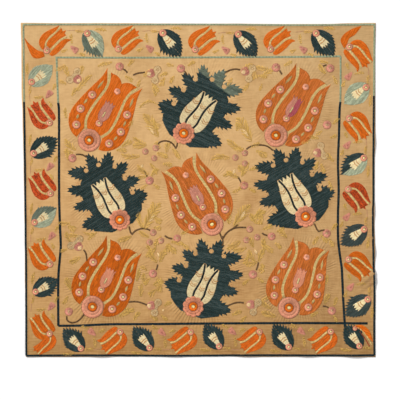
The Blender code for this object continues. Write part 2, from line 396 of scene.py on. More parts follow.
LEAF_BODY = ((-8.5, 12.0), (-3.0, 22.2), (0.0, 28.0), (8.0, 27.0), (16.0, 23.0), (19.0, 23.6),
             (27.0, 26.0), (34.5, 25.4), (42.0, 25.0), (49.5, 21.0), (54.0, 16.0), (57.0, 9.6),
             (59.0, 4.0), (57.5, -3.0), (57.0, -7.0), (54.0, -11.0), (49.5, -15.0), (42.0, -19.5),
             (35.0, -19.4), (26.0, -21.5), (18.6, -20.6), (13.0, -25.0), (6.0, -27.0),
             (0.5, -24.6), (-4.3, -18.1), (-8.1, -11.0))
# Columns: tip along and aside, direction of the lobe from the axis, length, and half width
LEAF_LOBES = (
    (71.6, 2.9, 8, 23, 5.4),
    (63.8, 26.7, 62, 22, 5.2),
    (47.9, 34.0, 64, 20, 4.7),
    (28.9, 35.8, 84, 18, 4.5),
    (9.1, 35.7, 84, 18, 5.6),
    (65.0, -17.3, -34, 22, 5.4),
    (48.6, -28.9, -72, 19, 4.9),
    (30.1, -33.5, -94, 18, 4.6),
    (12.5, -34.4, -98, 16, 6.4),
)
LEAF_EYES = ((58.9, -3.1), (58.8, 10.6), (50.6, 23.9), (34.6, 28.4), (18.4, 26.6), (50.8, -17.3),
             (35.9, -21.7), (19.8, -23.0))
LEAF_EYE_RADIUS = 2.3
LEAF_EYE_RING = 1.3
LEAF_ROSETTE_RADIUS = 11.1
LEAF_FLOWER_SHARE = 0.985
CREAM_OUTER = ((7.0, 9.7), (10.5, 12.4), (16.0, 13.8), (22.5, 14.0), (30.5, 12.4), (38.0, 10.4),
               (45.0, 9.0))
CREAM_GAP = ((7.5, 4.0), (14.0, 5.4), (19.5, 4.8), (28.5, 4.0), (37.0, 5.0), (44.5, 7.2))
CREAM_GAP_WIDTH = 1.9
CREAM_TOP = ((45.2, 6.0), (41.6, 4.2), (45.4, 2.2), (42.0, 0.0))
CREAM_CHEVRONS = ((31.5, 8.8), (19.8, 10.2), (31.0, 0.0), (19.0, 0.0))
CHEVRON_HALF_WIDTH = 3.2

BORDER_PETALS = (
    ((-2.1, 2.5), (-2.3, 6.3), (-0.5, 10.6), (3.2, 13.3), (8.5, 14.4), (14.3, 13.5), (20.0, 11.5),
     (26.2, 9.4), None, (19.7, 8.0), (13.7, 8.7), (8.6, 8.3), (4.2, 6.9), (1.0, 4.4)),
    ((3.5, 3.4), (6.6, 5.8), (12.5, 6.0), (18.9, 5.9), (25.9, 6.0), None, (24.6, 2.9), None,
     (27.8, 1.2), None, (24.5, 0.2), None, (24.6, -2.3), None, (21.3, -1.4), (16.4, -0.4),
     (11.4, -0.5), (6.9, -0.6), (3.8, -0.9)),
    ((3.2, -3.7), (8.1, -3.6), (14.0, -3.3), (19.5, -3.6), (23.2, -6.1), (24.7, -9.3), None,
     (20.9, -8.0), (17.3, -8.4), (12.9, -8.9), (7.9, -9.1), (3.3, -8.7), (0.2, -7.5),
     (-0.8, -4.6)),
)
BORDER_BANDS = (
    ((2.2, 4.0), (5.2, 6.4), (10.2, 7.2), (16.0, 7.0), (26.2, 7.5)),
    ((3.4, -2.3), (8.0, -2.1), (14.0, -1.9), (19.5, -2.4), (23.8, -4.2)),
)
BORDER_BAND_WIDTH = 1.6
BORDER_ROSETTE_RADIUS = 3.3
BORDER_LEAF_NEAR = ((-1.6, 3.5), (2.0, 7.3), (7.0, 10.0), (11.0, 11.0))
BORDER_LEAF_FAR = ((11.0, 11.0), (15.0, 10.6), (20.0, 8.4), (25.0, 5.2), (29.5, 0.0))
BORDER_LEAF_FOOT = (-1.6, 0)
BORDER_CREAM = ((2.5, 1.8), (4.4, 2.2), (10.0, 3.5), (14.8, 4.4))
BORDER_CREAM_TOP = ((18.0, 4.2), (15.8, 2.8), (18.8, 1.3), (16.2, 0.0))
BORDER_LEAF_SHIFT = (-1.2, -0.8)
BORDER_MARKS = (9.2, 11.9)
BORDER_BUD = ((-4.0, 3.2), (4.6, 0.6), (0.8, -4.6))
BORDER_BUD_HEART = ((-0.8, 1.6), (2.0, 0.4), (0.8, -2.0))
HALF_OPEN_BUD = ((-4.2, 0.0), (-2.6, 3.2), (1.2, 4.4), (4.2, 3.0), (3.6, 0.0), (4.2, -3.2),
                 (1.2, -4.4), (-2.6, -3.2))
HALF_OPEN_HEART = ((-4.0, 0.0), (-1.8, 2.2), (0.6, 0.4), (-1.4, -2.2))

# Lobes of the big leaves: shares of the length at which the widths are given, as shares of the
# half width, then the distance between teeth, their depth, and how far they lean forwards
LOBE_WAYS = (0.0, 0.3, 0.55, 0.76, 0.92, 1.0)
LOBE_WIDTHS = (0.9, 1.0, 0.98, 0.74, 0.36, 0.0)
TOOTH_PITCH = 3.9
TOOTH_DEPTH = 2.5
TOOTH_LEAN = 1.1
BORDER_TOOTH_PITCH = 3.3
# Teeth of the border's leaves: faint in sage silk, deeper on the right half
BORDER_TOOTH_DEPTH = {"sage": 0.6, "left": 1.6, "right": 3.3}

# Sprigs beside a bud and beside a leaf of the border. Columns: foot along and aside in the
# motif's frame, direction, and length. A leaf's are turned from its axis
BUD_SPRIGS = ((-2, 6, 95, 9), (5, -4, 330, 6), (-7, 0, 200, 6))
LEAF_SPRIGS = ((8, 4.2, 352, 11), (-4, 2, 172, 8))
LEAF_SPRIG_TURN = 53.4
LEAF_TENDRIL = ((-3.4, 1.4), (-10, 3.2), (-20, 3.0))


def screen_colour(red, green, blue):
    """A colour as it shows on a screen, from 0 to 255, as the linear values a shader takes."""
    channels = []
    for value in (red, green, blue):
        share = value / 255
        channels.append(share / 12.92 if share <= 0.04045 else ((share + 0.055) / 1.055) ** 2.4)
    return channels


def colour_setting(name, description, red, green, blue):
    """A setting that holds a colour, given as it shows on a screen."""
    return bpy.props.FloatVectorProperty(
        name=name,
        description=description,
        subtype="COLOR",
        size=3,
        min=0.0,
        max=1.0,
        default=screen_colour(red, green, blue),
    )


def silk_colour(name, red, green, blue):
    """A setting that holds the main colour of one silk."""
    return colour_setting(name, f"Main colour of the {name.lower()}", red, green, blue)


class WrappingSilks(bpy.types.PropertyGroup):
    """Main colours of the silks."""

    orange: silk_colour("Orange silk", 232, 114, 20)
    faded_orange: silk_colour("Faded orange silk", 213, 117, 46)
    red: silk_colour("Red-orange silk", 218, 88, 34)
    navy: silk_colour("Navy silk", 42, 60, 58)
    dark_slate: silk_colour("Dark slate silk", 58, 70, 66)
    slate: silk_colour("Slate silk", 110, 120, 102)
    sage: silk_colour("Sage silk", 174, 180, 150)
    khaki: silk_colour("Khaki silk", 214, 186, 122)
    pink: silk_colour("Pink silk", 216, 147, 115)
    coral: silk_colour("Coral silk", 218, 143, 108)
    dusky: silk_colour("Dusky pink silk", 206, 138, 114)
    rust: silk_colour("Rust silk", 150, 58, 24)
    rose: silk_colour("Rose outline silk", 166, 96, 80)
    dusty: silk_colour("Faded pink silk", 198, 142, 112)
    magenta: silk_colour("Magenta silk", 176, 80, 88)
    cream: silk_colour("Cream silk", 232, 210, 164)
    yellow: silk_colour("Pale yellow silk", 240, 216, 150)
    sand: silk_colour("Sand silk", 224, 190, 138)
    mustard: silk_colour("Mustard silk", 214, 170, 88)
    brown: silk_colour("Brown silk", 108, 80, 50)
    gap: silk_colour("Dark gap silk", 36, 42, 42)
    beige: silk_colour("Beige silk", 206, 150, 92)
    line_sage: silk_colour("Sage line silk", 156, 166, 134)
    line_navy: silk_colour("Navy line silk", 12, 36, 42)


class WrappingCloth(bpy.types.PropertyGroup):
    """Sizes and colours of the linen."""

    top_colour: colour_setting(
        "Top colour", "Linen at the top of the cloth", 208, 170, 118)
    main_colour: colour_setting(
        "Main colour", "Linen in the middle of the cloth", 206, 163, 109)
    lower_colour: colour_setting(
        "Lower colour", "Linen in the lower part of the field", 187, 143, 89)
    foot_colour: colour_setting(
        "Foot colour", "Linen at the foot of the cloth", 156, 114, 61)
    stain_tint: colour_setting(
        "Aged tint", "What is left of the colour where the linen has browned", 226, 215, 200)
    # Painted shade: the grey that darkens the linen towards the right edge
    right_painted_shade: colour_setting(
        "Right tint", "What is left of the colour along the right edge", 229, 229, 229)
    cell: bpy.props.FloatProperty(
        name="Cell", description="Size of the linen's grid cells", unit="LENGTH",
        min=0.003, max=0.05, default=5.2 * MM)
    yarn: bpy.props.FloatProperty(
        name="Yarn spacing", description="Distance from one yarn of the weave to the next",
        unit="LENGTH", min=0.0004, max=0.01, default=0.9 * MM)
    pucker_height: bpy.props.FloatProperty(
        name="Pucker height", description="Height of the soft puckers round the field motifs",
        unit="LENGTH", min=0.0, max=0.003, default=0.9 * MM)


class WrappingStitches(bpy.types.PropertyGroup):
    """Sizes of the stitches."""

    pitch: bpy.props.FloatProperty(
        name="Row spacing", description="Distance from one row of laid silk to the next",
        unit="LENGTH", min=0.0006, max=0.01, default=1.4 * MM)
    length: bpy.props.FloatProperty(
        name="Stitch length", description="Length of a laid stitch", unit="LENGTH",
        min=0.002, max=0.05, default=12 * MM)
    height: bpy.props.FloatProperty(
        name="Stitch height", description="How far the silk stands off the linen",
        unit="LENGTH", min=0.0001, max=0.003, default=0.62 * MM)
    line_length: bpy.props.FloatProperty(
        name="Outline stitch", description="Length of an outline stitch", unit="LENGTH",
        min=0.001, max=0.05, default=5 * MM)


# How stitches lie: their lap over the ends of a row and over a break in it, how near an end of
# its row a break may come, as a share of a stitch, how deep their feet sink, their width as a
# share of the row's, how far the ends of rows waver, and the height of one layer of silk
STITCH_LAP = 0.35 * MM
BREAK_LAP = 1.1 * MM
BREAK_CLEAR = 0.35
STITCH_SINK = 0.02 * MM
STITCH_SWELL = 1.45
EDGE_WAVER = 0.4 * MM
LAYER = 0.5 * MM

# Widths of lines of silk, and lengths of laid stitches in the small motifs
FINE_LINE = 1.0 * MM
OUTLINE = 1.1 * MM
PETAL_OUTLINE = 1.4 * MM
STEM_WIDTH = 4.8 * MM
LEAFLET_WIDTH = 3.0 * MM
CORNER_BAND_WIDTH = 3.4 * MM
CORNER_STREAK_WIDTH = 3.0 * MM
BORDER_STITCH = 9.5 * MM
MOTTLED_STITCH = 5 * MM

# Stitches of the hem: their length, the distance from the start of one to the start of the next,
# and how far they lie from the hem's inner edge
HEM_STITCH = 4.2 * MM
HEM_STITCH_GAP = 8.4 * MM
HEM_STITCH_INSET = 1.2 * MM

# Shades run from 0, deep, to 1, pale. Silks deepen over the height of the photo, and the border's
# tulips to the right of RIGHT_BORDER are darkened further by painted shade; FADED_SHARE of the red
# stitches have turned rust
FADED_SHARE = 0.24
SPRIG_SHADE = 0.72
SPRIG_DEEPENING = 0.4
BORDER_SHADE = 0.6
BORDER_DEEPENING = 0.36
RIGHT_BORDER = 340
# Painted shade: how much darker the border's tulips are made at the right edge
RIGHT_PAINTED_SHADE = 0.14

# Sprigs: the distance between leaflets in pixels, and for the scattered ones the number of places
# that are tried, the corners of their field in the photo, and how clear of motifs they stay
SPRIG_GAP = 1.7
SCATTERED_TRIES = 170
SCATTERED_FIELD = ((63, 63), (334, 318))
SCATTERED_CLEAR = 1.16

# Puckers, in rays round each field motif. Its outline is taken as an ellipse, at radius 1, whose
# middle and half axes are in pixels. The soft puckers are highest at PUCKER_RADIUS, the fine ones
# are strongest inside DRAWN_RADIUS, and both fade over PUCKER_SPREAD
MOTIF_MIDDLE = 31
MOTIF_HALF_LENGTH = 43
MOTIF_HALF_WIDTH = 33
PUCKER_RADIUS = 1.12
DRAWN_RADIUS = 1.04
PUCKER_SPREAD = 0.2
SOFT_RAYS = 29
FINE_RAYS = 96
FINE_RAYS_AT_TOP = 0.3

# Length over which a crease fades at its ends, and the steps of a smooth line between two points
CREASE_EASE = 10 * MM
CURVE_STEPS = 5

# Width of the wave texture's bands at scale 1, in metres
WAVE_PERIOD = 0.314


def in_photo(px, py):
    """Place on the cloth, in metres, of a point in the photo."""
    return np.array(((px - PHOTO_MIDDLE[0]) * PHOTO_PIXEL, (PHOTO_MIDDLE[1] - py) * PHOTO_PIXEL))


def to_photo(place):
    """Point in the photo of a place on the cloth."""
    return place[0] / PHOTO_PIXEL + PHOTO_MIDDLE[0], PHOTO_MIDDLE[1] - place[1] / PHOTO_PIXEL


def photo_points(points):
    """Places on the cloth of several points in the photo."""
    return np.array([in_photo(px, py) for px, py in points])


def lift(x, y):
    """Height of the cloth's underside over its ripples: smooth humps that end."""
    height = np.zeros_like(x)
    for centre_x, centre_y, half_length, half_width, turn, peak in RIPPLES:
        angle = math.radians(turn)
        away_x = x - centre_x * MM
        away_y = y - centre_y * MM
        along = (away_x * math.cos(angle) + away_y * math.sin(angle)) / (half_length * MM)
        aside = (away_y * math.cos(angle) - away_x * math.sin(angle)) / (half_width * MM)
        reach = np.minimum(along * along + aside * aside, 1)
        height += peak * MM * (1 - reach) ** 2
    return height


def creases(x, y):
    """Height of the listed creases: soft ridges that fade at both ends."""
    height = np.zeros_like(x)
    for start_x, start_y, end_x, end_y, half_width, peak in CREASES:
        start = in_photo(start_x, start_y)
        along = in_photo(end_x, end_y) - start
        length = math.hypot(*along)
        arrow = along / length
        way = (x - start[0]) * arrow[0] + (y - start[1]) * arrow[1]
        aside = (y - start[1]) * arrow[0] - (x - start[0]) * arrow[1]
        fade = np.clip(np.minimum(way, length - way) / CREASE_EASE + 0.5, 0, 1)
        across = np.minimum((aside / (half_width * MM)) ** 2, 1)
        height += peak * MM * fade * fade * (3 - 2 * fade) * (1 - across) ** 2
    return height


def motif_rays(x, y):
    """For each field motif: the arrow from its middle, the radius, 1 at its outline, and a seed."""
    for px, py, turn, size in [row[:4] for row in FIELD_TULIPS + FIELD_LEAVES]:
        angle = math.radians(turn)
        reach = MOTIF_MIDDLE * size
        middle = in_photo(px + reach * math.cos(angle), py - reach * math.sin(angle))
        away_x = x - middle[0]
        away_y = y - middle[1]
        along = away_x * math.cos(angle) + away_y * math.sin(angle)
        aside = away_y * math.cos(angle) - away_x * math.sin(angle)
        radius = np.hypot(along / (MOTIF_HALF_LENGTH * size * PHOTO_PIXEL),
                          aside / (MOTIF_HALF_WIDTH * size * PHOTO_PIXEL))
        yield away_x, away_y, radius, px


def pucker(x, y):
    """Height of the soft puckers where the sewing draws the linen in, in rays round motifs."""
    peak = bpy.context.scene.wrapping_cloth.pucker_height
    rise = np.zeros_like(x)
    for away_x, away_y, radius, seed in motif_rays(x, y):
        bearing = np.arctan2(away_y, away_x)
        near = np.exp(-(((radius - PUCKER_RADIUS) / PUCKER_SPREAD) ** 2))
        wave = np.sin(SOFT_RAYS * bearing + 3 * np.sin(3 * bearing + seed) + 4 * radius)
        strength = 0.55 + 0.45 * np.sin(4 * bearing + seed)
        rise += peak * near * strength * (1 + wave) / 2
    return np.minimum(rise, peak)


def edge_inset(edge, way):
    """Distance in metres that an edge lies inside the box, eased between the table's rows."""
    ways, insets = np.array(edge).T
    row = np.clip(np.searchsorted(ways, way), 1, len(ways) - 1)
    part = np.clip((way - ways[row - 1]) / (ways[row] - ways[row - 1]), 0, 1)
    ease = (1 - np.cos(np.pi * part)) / 2
    return (insets[row - 1] + (insets[row] - insets[row - 1]) * ease) * MM


def outline_point(across, down):
    """Place on the cloth, from the shares of its width and depth that lie before the point."""
    left = -CLOTH_WIDTH / 2 + edge_inset(LEFT_EDGE, down)
    right = CLOTH_WIDTH / 2 - edge_inset(RIGHT_EDGE, down)
    top = CLOTH_DEPTH / 2 - edge_inset(TOP_EDGE, across)
    bottom = -CLOTH_DEPTH / 2 + edge_inset(BOTTOM_EDGE, across)
    return left + (right - left) * across, top + (bottom - top) * down


def cloth_top(x, y):
    """Height of the cloth's face, hem and all, which the sewing lies on."""
    across = x / CLOTH_WIDTH + 0.5
    down = 0.5 - y / CLOTH_DEPTH
    from_left = x + CLOTH_WIDTH / 2 - edge_inset(LEFT_EDGE, down)
    from_right = CLOTH_WIDTH / 2 - edge_inset(RIGHT_EDGE, down) - x
    from_top = CLOTH_DEPTH / 2 - edge_inset(TOP_EDGE, across) - y
    from_foot = y + CLOTH_DEPTH / 2 - edge_inset(BOTTOM_EDGE, across)
    inside = np.minimum(np.minimum(from_left, from_right), np.minimum(from_top, from_foot))
    hem = np.clip((HEM_WIDTH + HEM_STEP - inside) / HEM_STEP, 0, 1)
    thickness = LINEN_THICKNESS + (HEM_THICKNESS - LINEN_THICKNESS) * hem
    return lift(x, y) + creases(x, y) + pucker(x, y) + thickness


def curve(points, closed=False):
    """A smooth line through the points; None among them leaves a corner at the one before."""
    points = list(points)
    if None in points:
        corner = points.index(None)
        rest = curve(points[corner - 1:corner] + points[corner + 1:])
        return np.vstack((curve(points[:corner]), rest[1:]))
    points = np.array(points, float)
    if len(points) < 3:
        return points
    if closed:
        framed = np.vstack((points[-1], points, points[:2]))
    else:
        framed = np.vstack((2 * points[0] - points[1], points, 2 * points[-1] - points[-2]))
    line = []
    for before, start, end, after in zip(framed, framed[1:], framed[2:], framed[3:]):
        for share in np.arange(CURVE_STEPS) / CURVE_STEPS:
            slope = (end - before) * share
            bend = (2 * before - 5 * start + 4 * end - after) * share ** 2
            turn = (3 * start - before - 3 * end + after) * share ** 3
            line.append(start + 0.5 * (slope + bend + turn))
    if not closed:
        line.append(points[-1])
    return np.array(line)


def evenly(line, gap):
    """The same line with points a gap apart."""
    steps = np.hypot(*np.diff(line, axis=0).T)
    way = np.concatenate(([0], np.cumsum(steps)))
    count = max(2, int(round(way[-1] / gap)) + 1)
    at = np.linspace(0, way[-1], count)
    return np.column_stack((np.interp(at, way, line[:, 0]), np.interp(at, way, line[:, 1])))


def beside(line, distance):
    """The line moved to its left by the distance."""
    along = np.gradient(line, axis=0)
    along /= np.maximum(np.hypot(*along.T), 1e-9)[:, None]
    return line + np.column_stack((-along[:, 1], along[:, 0])) * distance


def both_sides(half):
    """A closed outline from the half of it that lies to the left of the motif's axis."""
    return np.vstack((half, (half * (1, -1))[::-1]))


def toothed(line, pitch, depth, lean):
    """The line with pointed teeth to its left, which lean forwards along it."""
    line = evenly(line, pitch)
    teeth = [line[0]]
    for start, end in zip(line, line[1:]):
        along = end - start
        left = np.array((-along[1], along[0])) / math.hypot(*along)
        teeth.append(start + along * lean + left * depth)
        teeth.append(start + along * (0.25 * lean + 0.75))
    teeth.append(line[-1])
    return np.array(teeth)


def circle(middle, radius, points=24):
    """Points round a circle."""
    angles = np.linspace(0, math.tau, points, endpoint=False)
    return np.array(middle) + radius * np.column_stack((np.cos(angles), np.sin(angles)))


class Place:
    """A motif's own frame on the cloth."""

    def __init__(self, px, py, turn, size=1.0):
        self.middle = in_photo(px, py)
        self.turn = turn
        self.size = size

    def on_cloth(self, points):
        """Points of the motif, in metres on the cloth."""
        angle = math.radians(self.turn)
        points = np.atleast_2d(np.array(points, float)) * PHOTO_PIXEL * self.size
        x = points[:, 0] * math.cos(angle) - points[:, 1] * math.sin(angle)
        y = points[:, 0] * math.sin(angle) + points[:, 1] * math.cos(angle)
        return np.column_stack((x, y)) + self.middle

    def length(self, pixels):
        """A length of the motif, in metres."""
        return pixels * PHOTO_PIXEL * self.size


def spans_inside(loops, level):
    """Spans of a level line that lie inside any of the closed outlines."""
    spans = []
    for loop in loops:
        end = np.roll(loop, -1, axis=0)
        cross = (loop[:, 1] <= level) != (end[:, 1] <= level)
        if not cross.any():
            continue
        start = loop[cross]
        end = end[cross]
        share = (level - start[:, 1]) / (end[:, 1] - start[:, 1])
        at = np.sort(start[:, 0] + share * (end[:, 0] - start[:, 0]))
        spans += list(zip(at[::2], at[1::2]))
    joined = []
    for low, high in sorted(spans):
        if joined and low <= joined[-1][1]:
            joined[-1][1] = max(joined[-1][1], high)
        else:
            joined.append([low, high])
    return joined


def without(spans, holes):
    """The spans with the holes cut out of them."""
    for hole_low, hole_high in holes:
        left = []
        for low, high in spans:
            if hole_high <= low or hole_low >= high:
                left.append((low, high))
                continue
            if low < hole_low:
                left.append((low, hole_low))
            if high > hole_high:
                left.append((hole_high, high))
        spans = left
    return spans


def brick_breaks(left, right, offset, reach):
    """Places along a row at which one laid stitch ends and the next begins."""
    first = math.floor((left - offset) / reach) + 1
    last = math.ceil((right - offset) / reach)
    breaks = [offset + step * reach for step in range(first, last)]
    clear = BREAK_CLEAR * reach
    return [way for way in breaks if left + clear < way < right - clear]


class Needle:
    """Sews stitches and keeps them by silk. A stitch is one row of numbers: its start and end
    in metres, its width, its height, how high its foot lies over the linen, and its shade."""

    def __init__(self, seed):
        self.dice = np.random.default_rng(seed)
        self.sizes = bpy.context.scene.wrapping_stitches
        self.sewn = {}

    def sew(self, silk, start, end, width, layer=0.0, shade=0.5, spread=0.22):
        """Stitches from starts to ends."""
        start = np.atleast_2d(start)
        count = len(start)
        if not count:
            return
        rows = np.empty((count, 8))
        rows[:, 0:2] = start
        rows[:, 2:4] = end
        rows[:, 4] = width * self.dice.uniform(0.9, 1.12, count)
        rows[:, 5] = self.sizes.height * self.dice.uniform(0.8, 1.2, count)
        rows[:, 6] = layer
        rows[:, 7] = np.clip(shade + self.dice.uniform(-spread, spread, count), 0, 1)
        self.sewn.setdefault(silk, []).append(rows)

    def fill(self, silk, loops, turn, shade=0.5, cuts=(), layer=0.0, reach=None, pitch=None,
             spread=0.22, choose=None, streak=0.1):
        """Rows of laid stitches, brick fashion, over all that the outlines hold. Every two rows
        share a tone, which gives streaks. With choose, silk is two silks, and choose says which
        stitches take the first."""
        pitch = pitch or self.sizes.pitch
        reach = reach or self.sizes.length
        angle = math.radians(turn)
        spin = np.array(((math.cos(angle), -math.sin(angle)), (math.sin(angle), math.cos(angle))))
        loops = [loop @ spin for loop in loops]
        cuts = [cut @ spin for cut in cuts]
        low = min(loop[:, 1].min() for loop in loops)
        high = max(loop[:, 1].max() for loop in loops)
        starts = []
        ends = []
        tones = []
        for row in range(int((high - low) / pitch) + 1):
            level = low + (row + 0.5) * pitch
            if row % 2 == 0:
                tone = shade + self.dice.uniform(-streak, streak)
            offset = (row * 0.381 % 1 + self.dice.uniform(-0.12, 0.12)) * reach
            for left, right in without(spans_inside(loops, level), spans_inside(cuts, level)):
                left += self.dice.uniform(-EDGE_WAVER, EDGE_WAVER)
                right += self.dice.uniform(-EDGE_WAVER, EDGE_WAVER)
                if right - left < 0.5 * pitch:
                    continue
                breaks = brick_breaks(left, right, offset, reach)
                for begin, finish in zip([left] + breaks, breaks + [right]):
                    starts.append((begin - (STITCH_LAP if begin == left else BREAK_LAP), level))
                    ends.append((finish + (STITCH_LAP if finish == right else BREAK_LAP), level))
                    tones.append(tone)
        if not starts:
            return
        starts = np.array(starts) @ spin.T
        ends = np.array(ends) @ spin.T
        tones = np.array(tones)
        width = pitch * STITCH_SWELL
        if choose is None:
            self.sew(silk, starts, ends, width, layer, tones, spread)
            return
        first = choose((starts + ends) / 2)
        self.sew(silk[0], starts[first], ends[first], width, layer, tones[first], spread)
        self.sew(silk[1], starts[~first], ends[~first], width, layer, tones[~first], spread)

    def line(self, silk, path, width, shade=0.5, layer=0.0, reach=None, closed=False):
        """Stitches end to end along a path, each lapping the next."""
        reach = reach or self.sizes.line_length
        if closed:
            path = np.vstack((path, path[:1]))
        points = evenly(path, reach)
        along = np.diff(points, axis=0)
        lap = along / np.maximum(np.hypot(*along.T), 1e-9)[:, None] * min(0.35 * reach, 1.2 * MM)
        self.sew(silk, points[:-1] - lap, points[1:] + lap, width, layer, shade)

    def strip(self, silk, path, width, shade=0.5, layer=0.0, rows=None):
        """Lines of stitches side by side that fill a strip along a path."""
        rows = rows or max(2, round(width / self.sizes.pitch))
        swelled = width / rows * STITCH_SWELL
        for row in range(rows):
            aside = width * ((row + 0.5) / rows - 0.5)
            self.line(silk, beside(path, aside), swelled, shade, layer, self.sizes.length * 0.8)

    def rays(self, silk, middle, inner, outer, shade=0.5, layer=0.0, lobes=0, pitch=None):
        """Stitches that run out from a ring, as far as a plain or lobed outline."""
        pitch = pitch or self.sizes.pitch
        count = max(7, round(math.tau * outer / pitch))
        angles = np.arange(count) * math.tau / count + self.dice.uniform(0, 1)
        far = outer * self.dice.uniform(0.97, 1.03, count)
        if lobes:
            far *= 1 - 0.16 * (1 - np.abs(np.sin(angles * lobes / 2)) ** 0.6)
        near = inner * self.dice.uniform(0.94, 1.06, count)
        arrows = np.column_stack((np.cos(angles), np.sin(angles)))
        self.sew(silk, middle + arrows * near[:, None], middle + arrows * far[:, None],
                 pitch * STITCH_SWELL, layer, shade)

    def big_rosette(self, place, radius, silk, lobes=0, heart=0.4):
        """A field motif's round flower: two rounds of silk, an orange ring and a pale eye."""
        middle = place.middle
        radius = place.length(radius)
        ring = radius * 0.43
        eye = radius * 0.15
        between = (ring + radius) / 2
        self.rays(silk, middle, ring, between + 1 * MM, 0.4, LAYER)
        self.rays(silk, middle, between - 1 * MM, radius, 0.6, LAYER, lobes)
        self.rays("orange", middle, eye, ring, heart, LAYER, pitch=1.3 * MM)
        self.line("rose", circle(middle, ring), FINE_LINE, 0.3, 1.5 * LAYER, 3 * MM, closed=True)
        self.fill("yellow", [circle(middle, eye, 12)], place.turn, 0.7, layer=LAYER, pitch=1 * MM)
        if not lobes:
            self.line("rose", circle(middle, radius), FINE_LINE, 0.4, LAYER, 4 * MM, closed=True)
        for lobe_number in range(lobes):
            angle = lobe_number * math.tau / lobes
            arrow = np.array((math.cos(angle), math.sin(angle)))
            path = np.array((middle + arrow * ring * 1.15, middle + arrow * radius * 0.84))
            self.line("rose", path, FINE_LINE, 0.45, 1.5 * LAYER)

    def small_rosette(self, place, at, radius):
        """A small round flower: pink rays round a pale eye, inside a fine dark round."""
        middle = place.on_cloth(at)[0]
        radius = place.length(radius)
        eye = radius * 0.3
        self.rays("pink", middle, eye, radius, 0.62, LAYER, pitch=1.5 * MM)
        self.line("rose", circle(middle, radius, 16), 0.9 * MM, 0.45, LAYER, 3 * MM, closed=True)
        self.line("rose", circle(middle, eye * 1.25, 10), 0.8 * MM, 0.3, 1.5 * LAYER, 2.4 * MM,
                  closed=True)
        self.fill("yellow", [circle(middle, eye, 10)], place.turn, 0.75, layer=LAYER,
                  pitch=1 * MM)


def strand():
    """One stitch, one long, one wide and one high: a rounded strand whose ends dip."""
    stitch = bmesh.new()
    bmesh.ops.create_cone(stitch, cap_ends=True, segments=3, radius1=1, radius2=1, depth=0.72)
    caps = [face for face in stitch.faces if abs(face.normal.z) > 0.9]
    tips = bmesh.ops.poke(stitch, faces=caps)["verts"]
    turned = Matrix.Rotation(math.radians(90), 3, "Y")
    bmesh.ops.rotate(stitch, verts=stitch.verts, cent=(0, 0, 0), matrix=turned)
    rim = [vertex for vertex in stitch.verts if vertex not in tips]
    top = max(vertex.co.z for vertex in rim)
    if sum(vertex.co.z > top - 0.01 for vertex in rim) > 2:
        upright = Matrix.Rotation(math.pi, 3, "X")
        bmesh.ops.rotate(stitch, verts=stitch.verts, cent=(0, 0, 0), matrix=upright)
    foot = min(vertex.co.z for vertex in rim)
    top = max(vertex.co.z for vertex in rim)
    wide = max(vertex.co.y for vertex in rim)
    for vertex in stitch.verts:
        vertex.co.z = (vertex.co.z - foot) / (top - foot)
        vertex.co.y *= 0.5 / wide
    for tip in tips:
        tip.co = (math.copysign(0.5, tip.co.x), 0, 0.18)
    bmesh.ops.triangulate(stitch, faces=stitch.faces)
    bmesh.ops.recalc_face_normals(stitch, faces=stitch.faces)
    stitch.verts.index_update()
    points = np.array([vertex.co[:] for vertex in stitch.verts])
    faces = np.array([[vertex.index for vertex in face.verts] for face in stitch.faces])
    stitch.free()
    return points, faces


def joined_stitches(name, rows):
    """A mesh of one strand for each row, all laid on the cloth, with thread UV and shade."""
    points, faces = strand()
    count = len(rows)
    each = len(points)
    start = rows[:, 0:2]
    along = rows[:, 2:4] - start
    length = np.maximum(np.hypot(*along.T), 1e-6)
    aside = np.column_stack((-along[:, 1], along[:, 0])) / length[:, None]
    way = points[:, 0] + 0.5
    across = rows[:, 4, None] * points[:, 1]
    flat = start[:, None] + along[:, None] * way[None, :, None]
    flat = flat + aside[:, None] * across[:, :, None]
    places = np.empty((count, each, 3))
    places[:, :, 0:2] = flat
    places[:, :, 2] = cloth_top(flat[:, :, 0], flat[:, :, 1])
    places[:, :, 2] += rows[:, 6, None] + rows[:, 5, None] * points[:, 2] - STITCH_SINK
    corners = (faces[None] + (np.arange(count) * each)[:, None, None]).reshape(-1)
    mesh = bpy.data.meshes.new(name)
    mesh.vertices.add(count * each)
    mesh.vertices.foreach_set("co", places.reshape(-1))
    mesh.loops.add(len(corners))
    mesh.loops.foreach_set("vertex_index", corners)
    mesh.polygons.add(len(corners) // 3)
    mesh.polygons.foreach_set("loop_start", np.arange(0, len(corners), 3))
    mesh.polygons.foreach_set("use_smooth", np.ones(len(corners) // 3, bool))
    mesh.update(calc_edges=True)
    thread = mesh.uv_layers.new(name="thread")
    along_thread = np.tile(way, count) * np.repeat(length, each)
    across_thread = np.tile(points[:, 1], count) + np.repeat(np.arange(count), each)
    thread.uv.foreach_set("vector", np.column_stack((along_thread, across_thread))[corners].ravel())
    shade = mesh.attributes.new("shade", "FLOAT", "POINT")
    shade.data.foreach_set("value", np.repeat(rows[:, 7], each))
    mesh.validate()
    return mesh


def finish_sewing(needle, group):
    """One piece for each silk that the needle used."""
    for silk, parts in needle.sewn.items():
        name = f"{group}_{silk}"
        mesh = joined_stitches(name, np.vstack(parts))
        mesh.materials.append(silk_material(silk))
        piece = bpy.data.objects.new(name, mesh)
        bpy.context.scene.collection.objects.link(piece)
        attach(piece, "root")


